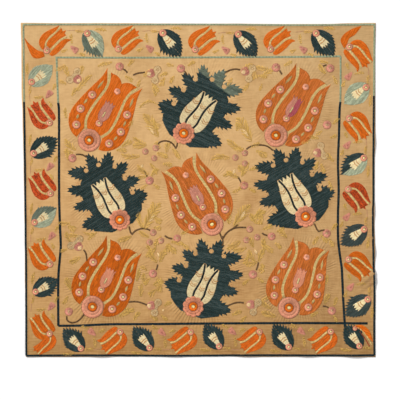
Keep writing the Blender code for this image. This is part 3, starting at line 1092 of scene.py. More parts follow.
class Recipe:
    """Short ways to add and join the nodes of one material."""

    def __init__(self, name, roughness, specular=0.5, sheen=0.0, sheen_roughness=0.5):
        self.material = bpy.data.materials.new(name)
        self.material.use_nodes = True
        self.nodes = self.material.node_tree.nodes
        self.links = self.material.node_tree.links
        self.shader = self.nodes["Principled BSDF"]
        self.shader.inputs["Roughness"].default_value = roughness
        self.shader.inputs["Specular IOR Level"].default_value = specular
        self.shader.inputs["Sheen Weight"].default_value = sheen
        self.shader.inputs["Sheen Roughness"].default_value = sheen_roughness

    def join(self, value, socket):
        """Link an output, or set a constant."""
        if isinstance(value, bpy.types.NodeSocket):
            self.links.new(value, socket)
        else:
            socket.default_value = value

    def math(self, operation, *values):
        """A Math node's result."""
        node = self.nodes.new("ShaderNodeMath")
        node.operation = operation
        for value, socket in zip(values, node.inputs):
            self.join(value, socket)
        return node.outputs["Value"]

    def noise(self, vector, scale, detail, stretch=(1, 1, 1)):
        """A noise, stretched along the axes."""
        shape = self.nodes.new("ShaderNodeMapping")
        shape.inputs["Scale"].default_value = stretch
        self.links.new(vector, shape.inputs["Vector"])
        cloud = self.nodes.new("ShaderNodeTexNoise")
        cloud.inputs["Scale"].default_value = scale
        cloud.inputs["Detail"].default_value = detail
        self.links.new(shape.outputs["Vector"], cloud.inputs["Vector"])
        return cloud.outputs["Fac"]

    def stretched(self, value, low, high):
        """The value, with low made 0 and high made 1."""
        node = self.nodes.new("ShaderNodeMapRange")
        node.inputs["From Min"].default_value = low
        node.inputs["From Max"].default_value = high
        self.links.new(value, node.inputs["Value"])
        return node.outputs["Result"]

    def mix(self, share, first, second, way="MIX"):
        """A share of the second colour over the first, or multiplied with it."""
        node = self.nodes.new("ShaderNodeMix")
        node.data_type = "RGBA"
        node.blend_type = way
        sockets = {socket.identifier: socket for socket in node.inputs}
        self.join(share, sockets["Factor_Float"])
        self.join(first, sockets["A_Color"])
        self.join(second, sockets["B_Color"])
        return next(item for item in node.outputs if item.identifier == "Result_Color")

    def attribute(self, name, output):
        """A stored attribute of the mesh."""
        node = self.nodes.new("ShaderNodeAttribute")
        node.attribute_name = name
        return node.outputs[output]

    def split(self, vector):
        """The three parts of a vector."""
        node = self.nodes.new("ShaderNodeSeparateXYZ")
        self.links.new(vector, node.inputs["Vector"])
        return node.outputs

    def ramp(self, value, stops):
        """Colours eased from stop to stop. Columns of the stops: value, and colour."""
        node = self.nodes.new("ShaderNodeValToRGB")
        elements = node.color_ramp.elements
        for way, _ in stops[1:-1]:
            elements.new(way)
        for element, (_, colour) in zip(elements, stops):
            element.color = (*colour, 1)
        self.links.new(value, node.inputs["Fac"])
        return node.outputs["Color"]

    def bump(self, height, strength, distance, below=None):
        """A normal for the relief of the height, on top of the relief below it."""
        node = self.nodes.new("ShaderNodeBump")
        node.inputs["Strength"].default_value = strength
        node.inputs["Distance"].default_value = distance
        self.links.new(height, node.inputs["Height"])
        if below is not None:
            self.links.new(below, node.inputs["Normal"])
        return node.outputs["Normal"]

    def finish(self, colour, normal):
        """The material, with its colour and relief joined to the shader."""
        self.links.new(colour, self.shader.inputs["Base Color"])
        self.links.new(normal, self.shader.inputs["Normal"])
        return self.material


def silk_material(name):
    """Loosely twisted silk: shades from stitch to stitch, partly uneven dye and partly painted
    highlight, fine fibres and a soft sheen.
    """
    if f"{name}_silk" in bpy.data.materials:
        return bpy.data.materials[f"{name}_silk"]
    main = np.array(getattr(bpy.context.scene.wrapping_silks, name))
    deep = main * 0.58
    # The pale end, which stitches reach at random and in streaks of two rows, is partly the silk's
    # own uneven tone and partly painted highlight on single strands
    pale = np.minimum(main * 1.3 + 0.035, 1)
    recipe = Recipe(f"{name}_silk", roughness=0.55, specular=0.14, sheen=0.02,
                    sheen_roughness=0.4)
    thread = recipe.nodes.new("ShaderNodeUVMap")
    thread.uv_map = "thread"
    fibres = recipe.noise(thread.outputs["UV"], 1.0, 2.0, (60, 7, 1))
    tone = recipe.math("MULTIPLY_ADD", fibres, 0.5, -0.25)
    tone = recipe.math("ADD", tone, recipe.attribute("shade", "Fac"))
    dye = recipe.ramp(tone, ((0, deep), (0.5, main), (1, pale)))
    return recipe.finish(dye, recipe.bump(fibres, 0.35, 0.12 * MM))


def linen_colour(recipe, where, slubs):
    """Honey-tan that darkens to the foot, with painted shade to the right, browned in places, paler
    on slubs.
    """
    cloth = bpy.context.scene.wrapping_cloth
    along = recipe.split(where)
    down = recipe.stretched(along["Y"], 0.5 * CLOTH_DEPTH, -0.5 * CLOTH_DEPTH)
    top_to_foot_tone = recipe.ramp(down, ((0, cloth.top_colour), (0.5, cloth.main_colour),
                             (0.83, cloth.lower_colour), (1, cloth.foot_colour)))
    # Painted shade: the linen is darkened towards the right edge
    right_shade_share = recipe.stretched(along["X"], 0.05 * CLOTH_WIDTH, 0.42 * CLOTH_WIDTH)
    base = recipe.mix(right_shade_share, top_to_foot_tone, (*cloth.right_painted_shade, 1), "MULTIPLY")
    browning = recipe.stretched(recipe.noise(where, 9.0, 6.0), 0.42, 0.72)
    base = recipe.mix(browning, base, (*cloth.stain_tint, 1), "MULTIPLY")
    mottling = recipe.stretched(recipe.noise(where, 60.0, 5.0), 0.4, 0.75)
    mottling = recipe.math("MULTIPLY", mottling, 0.5)
    base = recipe.mix(mottling, base, (*cloth.stain_tint, 1), "MULTIPLY")
    pale = tuple(min(1.0, value * 1.35) for value in cloth.top_colour)
    return recipe.mix(recipe.math("MULTIPLY", slubs, 0.2), base, (*pale, 1))


def linen_weave(recipe, where, slubs):
    """Relief of the plain weave: waves across both ways, uneven where the yarn is."""
    yarn = bpy.context.scene.wrapping_cloth.yarn
    waves = []
    for direction in ("X", "Y"):
        wave = recipe.nodes.new("ShaderNodeTexWave")
        wave.bands_direction = direction
        wave.inputs["Scale"].default_value = WAVE_PERIOD / yarn
        wave.inputs["Distortion"].default_value = 0.6
        wave.inputs["Detail"].default_value = 1.0
        wave.inputs["Detail Scale"].default_value = 0.2
        recipe.links.new(where, wave.inputs["Vector"])
        waves.append(wave.outputs["Fac"])
    weave = recipe.math("MAXIMUM", *waves)
    weave = recipe.math("MULTIPLY_ADD", slubs, 0.5, weave)
    return recipe.bump(weave, 0.22, 0.2 * MM)


def linen_puckers(recipe, where, below):
    """Relief of the fine puckers, in rays round each motif, and of the limp linen between."""
    away = recipe.split(recipe.attribute("away", "Vector"))
    bearing = recipe.math("ARCTAN2", away["Y"], away["X"])
    wander = recipe.math("MULTIPLY", recipe.noise(where, 14.0, 2.0), 9.0)
    rays = recipe.math("MULTIPLY_ADD", bearing, float(FINE_RAYS), wander)
    uneven = recipe.stretched(recipe.noise(where, 26.0, 2.0), 0.3, 0.6)
    drawn = recipe.math("MULTIPLY", recipe.attribute("drawn", "Fac"), uneven)
    draw = recipe.math("MULTIPLY", recipe.math("SINE", rays), drawn)
    draw = recipe.math("MULTIPLY_ADD", recipe.noise(where, 42.0, 3.0, (1, 1.6, 1)), 1.5, draw)
    return recipe.bump(draw, 1.0, 0.7 * MM, below)


def linen_material():
    """Honey-tan linen: plain weave of uneven yarn, browned in places, finely puckered by the
    sewing round each motif."""
    recipe = Recipe("honey_linen", roughness=0.86, specular=0.18, sheen=0.06,
                    sheen_roughness=0.6)
    where = recipe.nodes.new("ShaderNodeTexCoord").outputs["Object"]
    weft = recipe.stretched(recipe.noise(where, 1.0, 3.0, (30, 300, 1)), 0.35, 0.7)
    warp = recipe.stretched(recipe.noise(where, 1.0, 3.0, (260, 26, 1)), 0.35, 0.7)
    slubs = recipe.math("MULTIPLY_ADD", warp, 0.4, weft)
    weave = linen_weave(recipe, where, slubs)
    return recipe.finish(linen_colour(recipe, where, slubs), linen_puckers(recipe, where, weave))


def stations(length, cell):
    """Grid lines from one edge of the linen to the other, as shares of the length."""
    rim = [0.0, HEM_WIDTH / 2, HEM_WIDTH, HEM_WIDTH + HEM_STEP]
    middle = length - 2 * rim[-1]
    cells = round(middle / cell)
    inner = [rim[-1] + middle * step / cells for step in range(1, cells)]
    far_rim = [length - distance for distance in reversed(rim)]
    return np.array(rim + inner + far_rim) / length


def drawn_linen(x, y, down):
    """For each point of the linen: the arrow to it from the nearest motif, and how strongly the
    sewing draws the linen in there. Halfway between two motifs neither does."""
    away = np.zeros((*x.shape, 3))
    drawn = np.zeros_like(x)
    second = np.zeros_like(x)
    for away_x, away_y, radius, _ in motif_rays(x, y):
        beyond = np.maximum(radius, DRAWN_RADIUS) - DRAWN_RADIUS
        strength = np.exp(-((beyond / PUCKER_SPREAD) ** 2))
        second = np.maximum(second, np.minimum(strength, drawn))
        nearer = strength > drawn
        drawn[nearer] = strength[nearer]
        away[nearer, 0] = away_x[nearer]
        away[nearer, 1] = away_y[nearer]
    return away, (drawn - second) * (FINE_RAYS_AT_TOP + (1 - FINE_RAYS_AT_TOP) * down)


def linen_cloth():
    """The linen and its hem, one sheet on the folds of its solid."""
    cell = bpy.context.scene.wrapping_cloth.cell
    columns = stations(CLOTH_WIDTH, cell)
    rows = stations(CLOTH_DEPTH, cell)
    across, down = np.meshgrid(columns, rows, indexing="ij")
    x, y = outline_point(across, down)
    z = lift(x, y) + creases(x, y) + pucker(x, y)
    away, drawn = drawn_linen(x, y, down)
    grid = bmesh.new()
    bmesh.ops.create_grid(grid, x_segments=len(columns) - 1, y_segments=len(rows) - 1, size=0.5)
    grid.verts.index_update()
    last_column = len(columns) - 1
    last_row = len(rows) - 1
    order = np.empty((len(grid.verts), 2), int)
    for vertex in grid.verts:
        column = round((vertex.co.x + 0.5) * last_column)
        row = round((0.5 - vertex.co.y) * last_row)
        vertex.co = (x[column, row], y[column, row], z[column, row])
        order[vertex.index] = (column, row)
    for face in grid.faces:
        face.smooth = True
    mesh = bpy.data.meshes.new("linen_cloth")
    grid.to_mesh(mesh)
    grid.free()
    mesh.attributes.new("away", "FLOAT_VECTOR", "POINT").data.foreach_set(
        "vector", away[order[:, 0], order[:, 1]].ravel())
    mesh.attributes.new("drawn", "FLOAT", "POINT").data.foreach_set(
        "value", drawn[order[:, 0], order[:, 1]])
    mesh.materials.append(linen_material())
    cloth = bpy.data.objects.new("linen_cloth", mesh)
    bpy.context.scene.collection.objects.link(cloth)
    from_edge = np.minimum(np.minimum(order[:, 0], last_column - order[:, 0]),
                           np.minimum(order[:, 1], last_row - order[:, 1]))
    hem = cloth.vertex_groups.new(name="hem")
    hem.add([int(index) for index in np.flatnonzero(from_edge <= 2)], 1.0, "REPLACE")
    body = cloth.modifiers.new("Cloth thickness", "SOLIDIFY")
    body.thickness = HEM_THICKNESS
    body.offset = 1.0
    body.use_rim = True
    body.vertex_group = hem.name
    body.thickness_vertex_group = LINEN_THICKNESS / HEM_THICKNESS
    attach(cloth, "root")
    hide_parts(NODE)


def hem_stitches():
    """Small stitches in the linen's own colour that hold the turned hem."""
    needle = Needle(10)
    inside = HEM_WIDTH - HEM_STITCH_INSET
    for along_top, length in ((True, CLOTH_WIDTH), (False, CLOTH_DEPTH)):
        other = CLOTH_DEPTH if along_top else CLOTH_WIDTH
        ways = np.arange(inside, length - inside, HEM_STITCH_GAP)
        for side in (inside / other, 1 - inside / other):
            ends = []
            for way in (ways, ways + HEM_STITCH):
                shares = (way / length, np.full_like(way, side))
                across, down = shares if along_top else shares[::-1]
                ends.append(np.column_stack(outline_point(across, down)))
            needle.sew("sand", ends[0], ends[1], 0.9 * MM, -0.2 * MM, 0.3)
    finish_sewing(needle, "hem_stitches")


def lens_outline(along, aside, slope, half_length):
    """Outline of a slim lens between a tulip's rosettes."""
    tip = half_length * np.array((1, math.tan(math.radians(slope))))
    ways = np.concatenate((np.linspace(-1, 1, 7), np.linspace(1, -1, 7)))
    outline = np.outer(ways, tip) + (along, aside)
    outline[:, 1] += np.repeat((LENS_BULGE, -LENS_BULGE), 7) * (1 - ways ** 2)
    return outline


def side_petal(needle, place, silk, shade, side):
    """A big tulip's outer petal with its band, lenses and rosettes: side 1 is left, -1 right."""
    band = curve(TULIP_BAND)
    near = beside(band, TULIP_BAND_WIDTH / 2)
    near = near[near[:, 0] < TULIP_PETAL_END]
    mirror = np.array((1, side))
    outer = curve(TULIP_OUTER) * mirror
    petal = place.on_cloth(np.vstack((outer, (near * mirror)[::-1])))
    needle.fill(silk, [petal], place.turn + 12 * side, shade, spread=0.26, streak=0.16)
    needle.line(silk, place.on_cloth(beside(outer, -0.3 * side)), PETAL_OUTLINE, shade - 0.2)
    needle.strip("khaki", place.on_cloth(band * mirror), place.length(TULIP_BAND_WIDTH), 0.6)
    for along, aside, slope, half_length in TULIP_LENSES:
        lens = lens_outline(along, aside, slope, half_length) * mirror
        needle.fill("khaki", [place.on_cloth(lens)], place.turn + slope * side, 0.34,
                    layer=LAYER, pitch=1.2 * MM)
    for along, aside in TULIP_ROSETTES:
        needle.small_rosette(place, (along, aside * side), SMALL_ROSETTE_RADIUS)


def inner_tulip(needle, place, left_silk, right_silk):
    """The small tulip inside a big one, with a pale slit and a rosette at its foot."""
    half = np.vstack((curve(INNER_TULIP), INNER_TULIP_TOP))
    for side, silk in ((1, left_silk), (-1, right_silk)):
        shade = 0.68 if silk == "coral" else 0.6
        needle.fill(silk, [place.on_cloth(half * (1, side))], place.turn, shade, layer=LAYER)
    needle.line("rose", place.on_cloth(both_sides(half)), FINE_LINE, 0.5, LAYER, closed=True)
    slit = place.on_cloth(INNER_TULIP_SLIT)
    needle.strip("rose", slit, 5.6 * MM, 0.2, 1.4 * LAYER, rows=3)
    needle.strip("yellow", slit, 3.6 * MM, 0.35, 2 * LAYER)
    needle.small_rosette(place, INNER_TULIP_FOOT, INNER_TULIP_FOOT_RADIUS)


def field_tulip(needle, px, py, turn, size, depth, petal_silk, left_silk, right_silk):
    """One big tulip: three petals with pale bands between, rosettes and a small tulip."""
    place = Place(px, py, turn, size)
    shade = 0.72 - depth * 0.6
    for side in (1, -1):
        side_petal(needle, place, petal_silk, shade, side)
    left_edge = beside(curve(TULIP_BAND), -TULIP_BAND_WIDTH / 2)
    top = curve([tuple(left_edge[-1])] + list(TULIP_TOP))
    middle = place.on_cloth(both_sides(np.vstack((left_edge, top))))
    needle.fill(petal_silk, [middle], turn + 3, shade + 0.04, spread=0.26, streak=0.16)
    needle.line(petal_silk, place.on_cloth(both_sides(top)), PETAL_OUTLINE, shade - 0.3)
    inner_tulip(needle, place, left_silk, right_silk)
    flower = place.on_cloth(TULIP_TOP_FLOWER)[0]
    needle.rays("pink", flower, 0.5 * MM, place.length(TULIP_TOP_FLOWER_RADIUS), 0.7, LAYER,
                lobes=5, pitch=2 * MM)
    needle.big_rosette(place, ROSETTE_RADIUS, "pink", heart=0.2)


def lobe(tip, direction, length, half_width):
    """Toothed outline of one of a leaf's lobes, which narrows to its tip."""
    angle = math.radians(direction)
    arrow = np.array((math.cos(angle), math.sin(angle)))
    left = np.array((-arrow[1], arrow[0]))
    base = np.array(tip) - arrow * length
    ways = np.array(LOBE_WAYS) * length
    widths = np.array(LOBE_WIDTHS) * half_width
    line = curve([tuple(point) for point in base + np.outer(ways, arrow) + np.outer(widths, left)])
    teeth = toothed(line, TOOTH_PITCH, TOOTH_DEPTH, TOOTH_LEAN)
    along = (teeth - base) @ arrow
    aside = (teeth - base) @ left
    mirrored = base + np.outer(along, arrow) - np.outer(aside, left)
    return np.vstack((teeth, mirrored[::-1]))


def cream_tulip(needle, place):
    """The cream tulip inside a big leaf, with dark gaps between its petals and beige marks."""
    turn = place.turn + 90
    gap = curve(CREAM_GAP)
    half_gap = CREAM_GAP_WIDTH / 2
    for side in (1, -1):
        mirror = np.array((1, side))
        outer = curve(CREAM_OUTER) * mirror
        petal = np.vstack((outer, (beside(gap, half_gap) * mirror)[::-1]))
        needle.fill("cream", [place.on_cloth(petal)], turn, 0.5, reach=6 * MM)
        needle.strip("gap", place.on_cloth(gap * mirror), place.length(CREAM_GAP_WIDTH))
        needle.line("gap", place.on_cloth(outer), 1.6 * MM, 0.4, LAYER / 2)
    half = np.vstack((beside(gap, -half_gap), CREAM_TOP))
    needle.fill("cream", [place.on_cloth(both_sides(half))], turn, 0.55, reach=6 * MM)
    for along, aside in CREAM_CHEVRONS:
        half_width = CHEVRON_HALF_WIDTH if aside else 0.8 * CHEVRON_HALF_WIDTH
        for side in (1, -1) if aside else (1,):
            for foot, shade in ((along - 1.4, 0.3), (along + 0.8, 0.6)):
                mark = ((foot + 2.2, aside - half_width), (foot, aside),
                        (foot + 2.2, aside + half_width))
                needle.line("beige", place.on_cloth(np.array(mark) * (1, side)), 2.8 * MM, shade,
                            LAYER, reach=4.5 * MM)


def above_pale_line(middles):
    """Which of the places lie above the line up to which a leaf is sewn in slate."""
    start, end = photo_points(PALE_LEAF_LINE)
    along = end - start
    away = middles - start
    return along[0] * away[:, 1] - along[1] * away[:, 0] > 0


def field_leaf(needle, px, py, turn, size, flower_turn, hand, silks):
    """One big serrated leaf round a cream tulip, with five lobes on one side and four on the
    other."""
    place = Place(px, py, turn, size)
    flower = Place(px, py, flower_turn, size * LEAF_FLOWER_SHARE)
    mirror = np.array((1, hand))
    loops = [place.on_cloth(np.array(LEAF_BODY) * mirror)]
    for along, aside, direction, length, half_width in LEAF_LOBES:
        outline = lobe((along, aside), direction, length, half_width)
        loops.append(place.on_cloth(outline * mirror))
    eyes = []
    for eye in LEAF_EYES:
        middle = place.on_cloth(eye * mirror)[0]
        eyes.append(circle(middle, place.length(LEAF_EYE_RADIUS), 14))
        ring = circle(middle, place.length(LEAF_EYE_RING), 9)
        needle.line("beige", ring, FINE_LINE, 0.75, reach=3 * MM, closed=True)
    cream = flower.on_cloth(both_sides(np.vstack((curve(CREAM_OUTER), CREAM_TOP))))
    two_silks = len(silks) > 1
    # Wide spread and strong streaks give pale rows of stitches: partly uneven silk, partly painted
    # highlight
    needle.fill(silks if two_silks else silks[0], loops, turn - 82, 0.5, eyes + [cream],
                spread=0.34, choose=above_pale_line if two_silks else None, streak=0.3)
    cream_tulip(needle, flower)
    needle.big_rosette(flower, LEAF_ROSETTE_RADIUS, "coral", lobes=10)


def border_tulip(needle, px, py, turn, size, silk="orange", petals=3):
    """One border tulip: petals that curve to one side. Red ones are mottled with rust."""
    place = Place(px, py, turn, size)

    def unfaded(middles):
        return needle.dice.random(len(middles)) > FADED_SHARE

    shade = BORDER_SHADE - BORDER_DEEPENING * py / PHOTO_SIZE
    # Painted shade on the tulips along the right border
    if px > RIGHT_BORDER:
        shade -= RIGHT_PAINTED_SHADE
    for petal in BORDER_PETALS[:petals]:
        outline = place.on_cloth(curve(petal))
        if silk == "red":
            needle.fill((silk, "rust"), [outline], turn + 6, shade, reach=MOTTLED_STITCH,
                        choose=unfaded)
        else:
            needle.fill(silk, [outline], turn + 6, shade, reach=BORDER_STITCH)
        needle.line(silk, outline, OUTLINE, shade - 0.15, closed=True)
    for band in BORDER_BANDS[:petals - 1]:
        needle.strip("khaki", place.on_cloth(curve(band)), place.length(BORDER_BAND_WIDTH), 0.6)
    needle.small_rosette(place, (0, 0), BORDER_ROSETTE_RADIUS)


def border_leaf(needle, px, py, turn, size, left_silk="navy", right_silk="navy"):
    """One border leaf round a small cream tulip, toothed towards its tip where it is dark."""
    place = Place(px, py, turn, size)
    half = np.vstack((curve(BORDER_CREAM), BORDER_CREAM_TOP))
    cream = place.on_cloth(both_sides(half) + BORDER_LEAF_SHIFT)
    for side, hand, silk in ((1, "left", left_silk), (-1, "right", right_silk)):
        depth = BORDER_TOOTH_DEPTH["sage" if silk == "sage" else hand]
        far = toothed(curve(BORDER_LEAF_FAR), BORDER_TOOTH_PITCH, depth, TOOTH_LEAN)
        half = np.vstack((curve(BORDER_LEAF_NEAR), far, BORDER_LEAF_FOOT)) * (1, side)
        outline = place.on_cloth(half + BORDER_LEAF_SHIFT)
        needle.fill(silk, [outline], turn + 9 * side, 0.5, [cream], reach=BORDER_STITCH,
                    spread=0.3, streak=0.2)
    needle.fill("cream", [cream], turn, 0.7, reach=7 * MM)
    for along in BORDER_MARKS:
        half_width = 0.9 + 0.2 * along
        mark = np.array(((along, -half_width), (along + 0.8, 0), (along, half_width)))
        needle.line("beige", place.on_cloth(mark + BORDER_LEAF_SHIFT), 3.2 * MM, 0.6, LAYER,
                    reach=4 * MM)
    needle.small_rosette(place, (0, 0), BORDER_ROSETTE_RADIUS * 1.1)


def border_bud(needle, px, py, turn):
    """A small dusky bud with a darker heart."""
    place = Place(px, py, turn)
    needle.fill("dusky", [place.on_cloth(curve(BORDER_BUD, closed=True))], turn, 0.6)
    heart = place.on_cloth(np.array(BORDER_BUD_HEART) * 0.7)
    needle.fill("rose", [heart], turn, 0.9, layer=LAYER / 2)


def spray_flower(needle, px, py, radius):
    """A small ragged flower, with a few pale stitches across its heart."""
    silk = "dusty" if radius < FADED_ROSETTE_RADIUS else "dusky"
    middle = in_photo(px, py)
    size = radius * PHOTO_PIXEL
    needle.rays(silk, middle, 0.1 * size, size, 0.5, lobes=7, pitch=1.6 * MM)
    needle.line("rose", circle(middle, 0.9 * size, 14), 1.2 * MM, 0.6, reach=3.4 * MM,
                closed=True)
    for angle in needle.dice.uniform(0, math.pi, 3):
        arrow = 0.45 * size * np.array((math.cos(angle), math.sin(angle)))
        needle.sew("sand", middle - arrow, middle + arrow, 1.6 * MM, LAYER, 0.4)


def scrolls(needle, px, py, way):
    """A pale cloud of two scrolls beside a bud, with a fine outline and a ring in each."""
    place = Place(px, py, way)
    along, aside = SCROLL_MIDDLE
    arcs = []
    for side in (1, -1):
        angles = np.radians(np.linspace(-SCROLL_ARC, SCROLL_ARC, 15) + 90 * side)
        arcs.append((along, side * aside)
                    + SCROLL_RADIUS * np.column_stack((np.cos(angles), np.sin(angles))))
        ring = place.on_cloth(circle((along, side * aside), 1.3, 8))
        needle.line("beige", ring, 1.3 * MM, 0.2, LAYER / 2, reach=3 * MM, closed=True)
    outline = place.on_cloth(np.vstack(arcs))
    needle.fill("sand", [outline], 35, 0.6 - SPRIG_DEEPENING * py / PHOTO_SIZE)
    needle.line("beige", outline, 2.0 * MM, 0.05, reach=3.5 * MM, closed=True)


def half_open_bud(needle, px, py, turn):
    """A bud seen from the side: pink with a pale heart towards its stem."""
    place = Place(px, py, turn)
    body = place.on_cloth(curve(HALF_OPEN_BUD, closed=True))
    needle.fill("dusky", [body], turn, 0.55)
    heart = place.on_cloth(curve(HALF_OPEN_HEART, closed=True))
    needle.fill("sand", [heart], turn, 0.75, layer=LAYER / 2)
    for along, silk in ((1.8, "rose"), (3.2, "magenta")):
        stroke = place.on_cloth(((along - 0.8, 3.4), (along, 0.0), (along - 0.8, -3.4)))
        needle.line(silk, stroke, 1.5 * MM, 0.6, LAYER / 2, reach=3 * MM)


def pale_petal(needle, px, py, turn, half_length, half_width):
    """A long pale petal outlined in beige."""
    place = Place(px, py, turn)
    outline = curve(((-half_length, 0), (0, half_width), (half_length, 0.3 * half_width),
                     (0, -half_width)), closed=True)
    needle.fill("sand", [place.on_cloth(outline)], turn, 0.85)
    needle.line("mustard", place.on_cloth(outline), 0.9 * MM, 0.3, closed=True)


def sprig(needle, px, py, turn, length, half_width, bend):
    """A feathery sprig: a curved rib with pairs of leaflets."""
    place = Place(px, py, turn)
    shares = np.linspace(0, 1, 9)
    rib = np.column_stack((shares * length, bend * length * shares * (1 - shares) * 2))
    shade = SPRIG_SHADE - SPRIG_DEEPENING * py / PHOTO_SIZE
    needle.line("mustard", place.on_cloth(rib), OUTLINE, shade - 0.25)
    points = evenly(rib, SPRIG_GAP)
    for share, point in zip(np.linspace(0, 1, len(points)), points):
        # Leaflets are longest a little before the middle, and shortest at the tip
        reach = half_width * math.sin(math.pi * min(0.97, 0.16 + 0.84 * share)) ** 0.7 * 1.8
        for side in (1, -1):
            angle = math.radians(38 + needle.dice.uniform(-9, 9)) * side
            arrow = np.array((math.cos(angle), math.sin(angle)))
            ends = place.on_cloth((point, point + arrow * reach * needle.dice.uniform(0.8, 1.15)))
            needle.sew("mustard", ends[:1], ends[1:], LEAFLET_WIDTH, 0.0, shade)


def sprigs_beside(needle, place, sprigs, half_width, bend):
    """The sprigs beside one motif of the border."""
    for along, aside, direction, length in sprigs:
        foot = to_photo(place.on_cloth((along, aside))[0])
        sprig(needle, *foot, place.turn + direction, length, half_width, bend)


def sew_field_tulips():
    """The five big tulips."""
    needle = Needle(11)
    for row in FIELD_TULIPS:
        field_tulip(needle, *row)
    finish_sewing(needle, "field_tulips")


def sew_field_leaves():
    """The four big serrated leaves."""
    needle = Needle(12)
    for index, row in enumerate(FIELD_LEAVES):
        field_leaf(needle, *row, ("slate", "navy") if index == 0 else ("navy",))
    finish_sewing(needle, "field_leaves")


def sew_border_tulips():
    """The border's tulips, and the petals on their own at three corners."""
    needle = Needle(13)
    for row in BORDER_TULIPS:
        border_tulip(needle, *row)
    for outer, inner in CORNER_PETALS:
        outline = np.vstack((photo_points(curve(outer)), photo_points(curve(inner))))
        along = outline[len(outline) // 2] - outline[0]
        turn = math.degrees(math.atan2(along[1], along[0]))
        needle.fill("orange", [outline], turn, 0.45, reach=8 * MM)
        needle.line("orange", outline, OUTLINE, 0.25, closed=True)
    needle.strip("khaki", photo_points(curve(CORNER_BAND)), CORNER_BAND_WIDTH, 0.5)
    needle.strip("rust", photo_points(curve(CORNER_STREAK)), CORNER_STREAK_WIDTH, 0.6, rows=2)
    needle.small_rosette(Place(*CORNER_FLOWER, 0), (0, 0), CORNER_FLOWER_RADIUS)
    finish_sewing(needle, "border_tulips")


def sew_border_leaves():
    """The border's leaves and buds."""
    needle = Needle(14)
    for row in BORDER_LEAVES:
        border_leaf(needle, *row)
    for row in BORDER_BUDS:
        border_bud(needle, *row)
    finish_sewing(needle, "border_leaves")


def sew_border_lines():
    """The two lines round the border, slimmer where they are sage."""
    needle = Needle(15)
    for stretches, width in ((OUTER_LINE, OUTER_LINE_WIDTH), (INNER_LINE, INNER_LINE_WIDTH)):
        for silk, points in stretches:
            share = SAGE_LINE_SHARE if silk == "line_sage" else 1
            needle.strip(silk, photo_points(curve(points)), width * share, rows=3)
    finish_sewing(needle, "border_lines")


def sew_sprays():
    """Stems, buds, small rosettes and scrolls between the big motifs."""
    needle = Needle(16)
    for points in STEMS:
        needle.strip("brown", photo_points(curve(points)), STEM_WIDTH, rows=3)
    for row in SPRAY_ROSETTES:
        spray_flower(needle, *row)
    for px, py, turn, scroll_way in SPRAY_BUDS:
        scrolls(needle, px, py, scroll_way)
        half_open_bud(needle, px, py, turn)
    for row in PALE_PETALS:
        pale_petal(needle, *row)
    finish_sewing(needle, "sprays")


def clear_of_motifs(point):
    """Whether a place on the cloth is clear of the big motifs."""
    return all(radius > SCATTERED_CLEAR for _, _, radius, _ in motif_rays(*point))


def sew_sprigs():
    """Feathery sprigs in mustard silk over the field and along the border."""
    needle = Needle(17)
    for row in SPRIGS:
        sprig(needle, *row)
    for px, py in needle.dice.uniform(*SCATTERED_FIELD, (SCATTERED_TRIES, 2)):
        turn = needle.dice.uniform(0, 360)
        length = needle.dice.uniform(7, 13)
        place = Place(px, py, turn)
        if clear_of_motifs(place.middle) and clear_of_motifs(place.on_cloth((length, 0))[0]):
            sprig(needle, px, py, turn, length, needle.dice.uniform(2.0, 3.4), 0.1)
    for row in BORDER_BUDS:
        sprigs_beside(needle, Place(*row), BUD_SPRIGS, 1.6, 0.15)
    for px, py, turn, *_ in BORDER_LEAVES:
        place = Place(px, py, turn + LEAF_SPRIG_TURN)
        sprigs_beside(needle, place, LEAF_SPRIGS, 1.5, 0.1)
        tendril = place.on_cloth(curve(LEAF_TENDRIL))
        if tendril[-1][0] < CLOTH_WIDTH / 2 - HEM_WIDTH:
            needle.line("dusty", tendril, 1.5 * MM, 0.4)
    finish_sewing(needle, "sprigs")


def sun(name, place, softness, strength):
    """A soft light from far off, in the direction of the place."""
    lamp = bpy.data.lights.new(name, "SUN")
    lamp.angle = math.radians(softness)
    lamp.energy = strength
    light = bpy.data.objects.new(name, lamp)
    light.location = place
    light.rotation_euler = (-Vector(place)).to_track_quat("-Z", "Y").to_euler()
    bpy.context.scene.collection.objects.link(light)


def pale_floor():
    """The floor that the cloth lies on."""
    ground = bmesh.new()
    bmesh.ops.create_grid(ground, x_segments=2, y_segments=2, size=FLOOR_HALF_SIZE)
    bmesh.ops.translate(ground, verts=ground.verts, vec=(0, 0, -FLOOR_GAP))
    mesh = bpy.data.meshes.new("pale_floor")
    ground.to_mesh(mesh)
    ground.free()
    recipe = Recipe("floor_paint", roughness=0.9)
    recipe.shader.inputs["Base Color"].default_value = (*FLOOR_COLOUR, 1)
    mesh.materials.append(recipe.material)
    floor = bpy.data.objects.new("pale_floor", mesh)
    bpy.context.scene.collection.objects.link(floor)


def camera():
    """A camera straight over the photo's middle, whose picture is the photo's frame."""
    lens = bpy.data.cameras.new("camera")
    lens.lens = LENS
    lens.sensor_width = SENSOR
    viewer = bpy.data.objects.new("camera", lens)
    aim = in_photo(PHOTO_SIZE / 2, PHOTO_SIZE / 2)
    viewer.location = (aim[0], aim[1], PHOTO_SIZE * PHOTO_PIXEL * LENS / SENSOR)
    bpy.context.scene.collection.objects.link(viewer)
    bpy.context.scene.camera = viewer


def stage():
    """Floor, soft light and camera."""
    pale_floor()
    sun("key_light", (-2.0, 1.9, 2.1), softness=9, strength=3.1)
    sun("fill_light", (1.8, -0.6, 2.6), softness=60, strength=0.5)
    world = bpy.data.worlds.new("studio")
    world.use_nodes = True
    background = world.node_tree.nodes["Background"]
    background.inputs["Color"].default_value = (1, 1, 1, 1)
    background.inputs["Strength"].default_value = WORLD_STRENGTH
    bpy.context.scene.world = world
    bpy.context.scene.view_settings.view_transform = "Standard"
    camera()


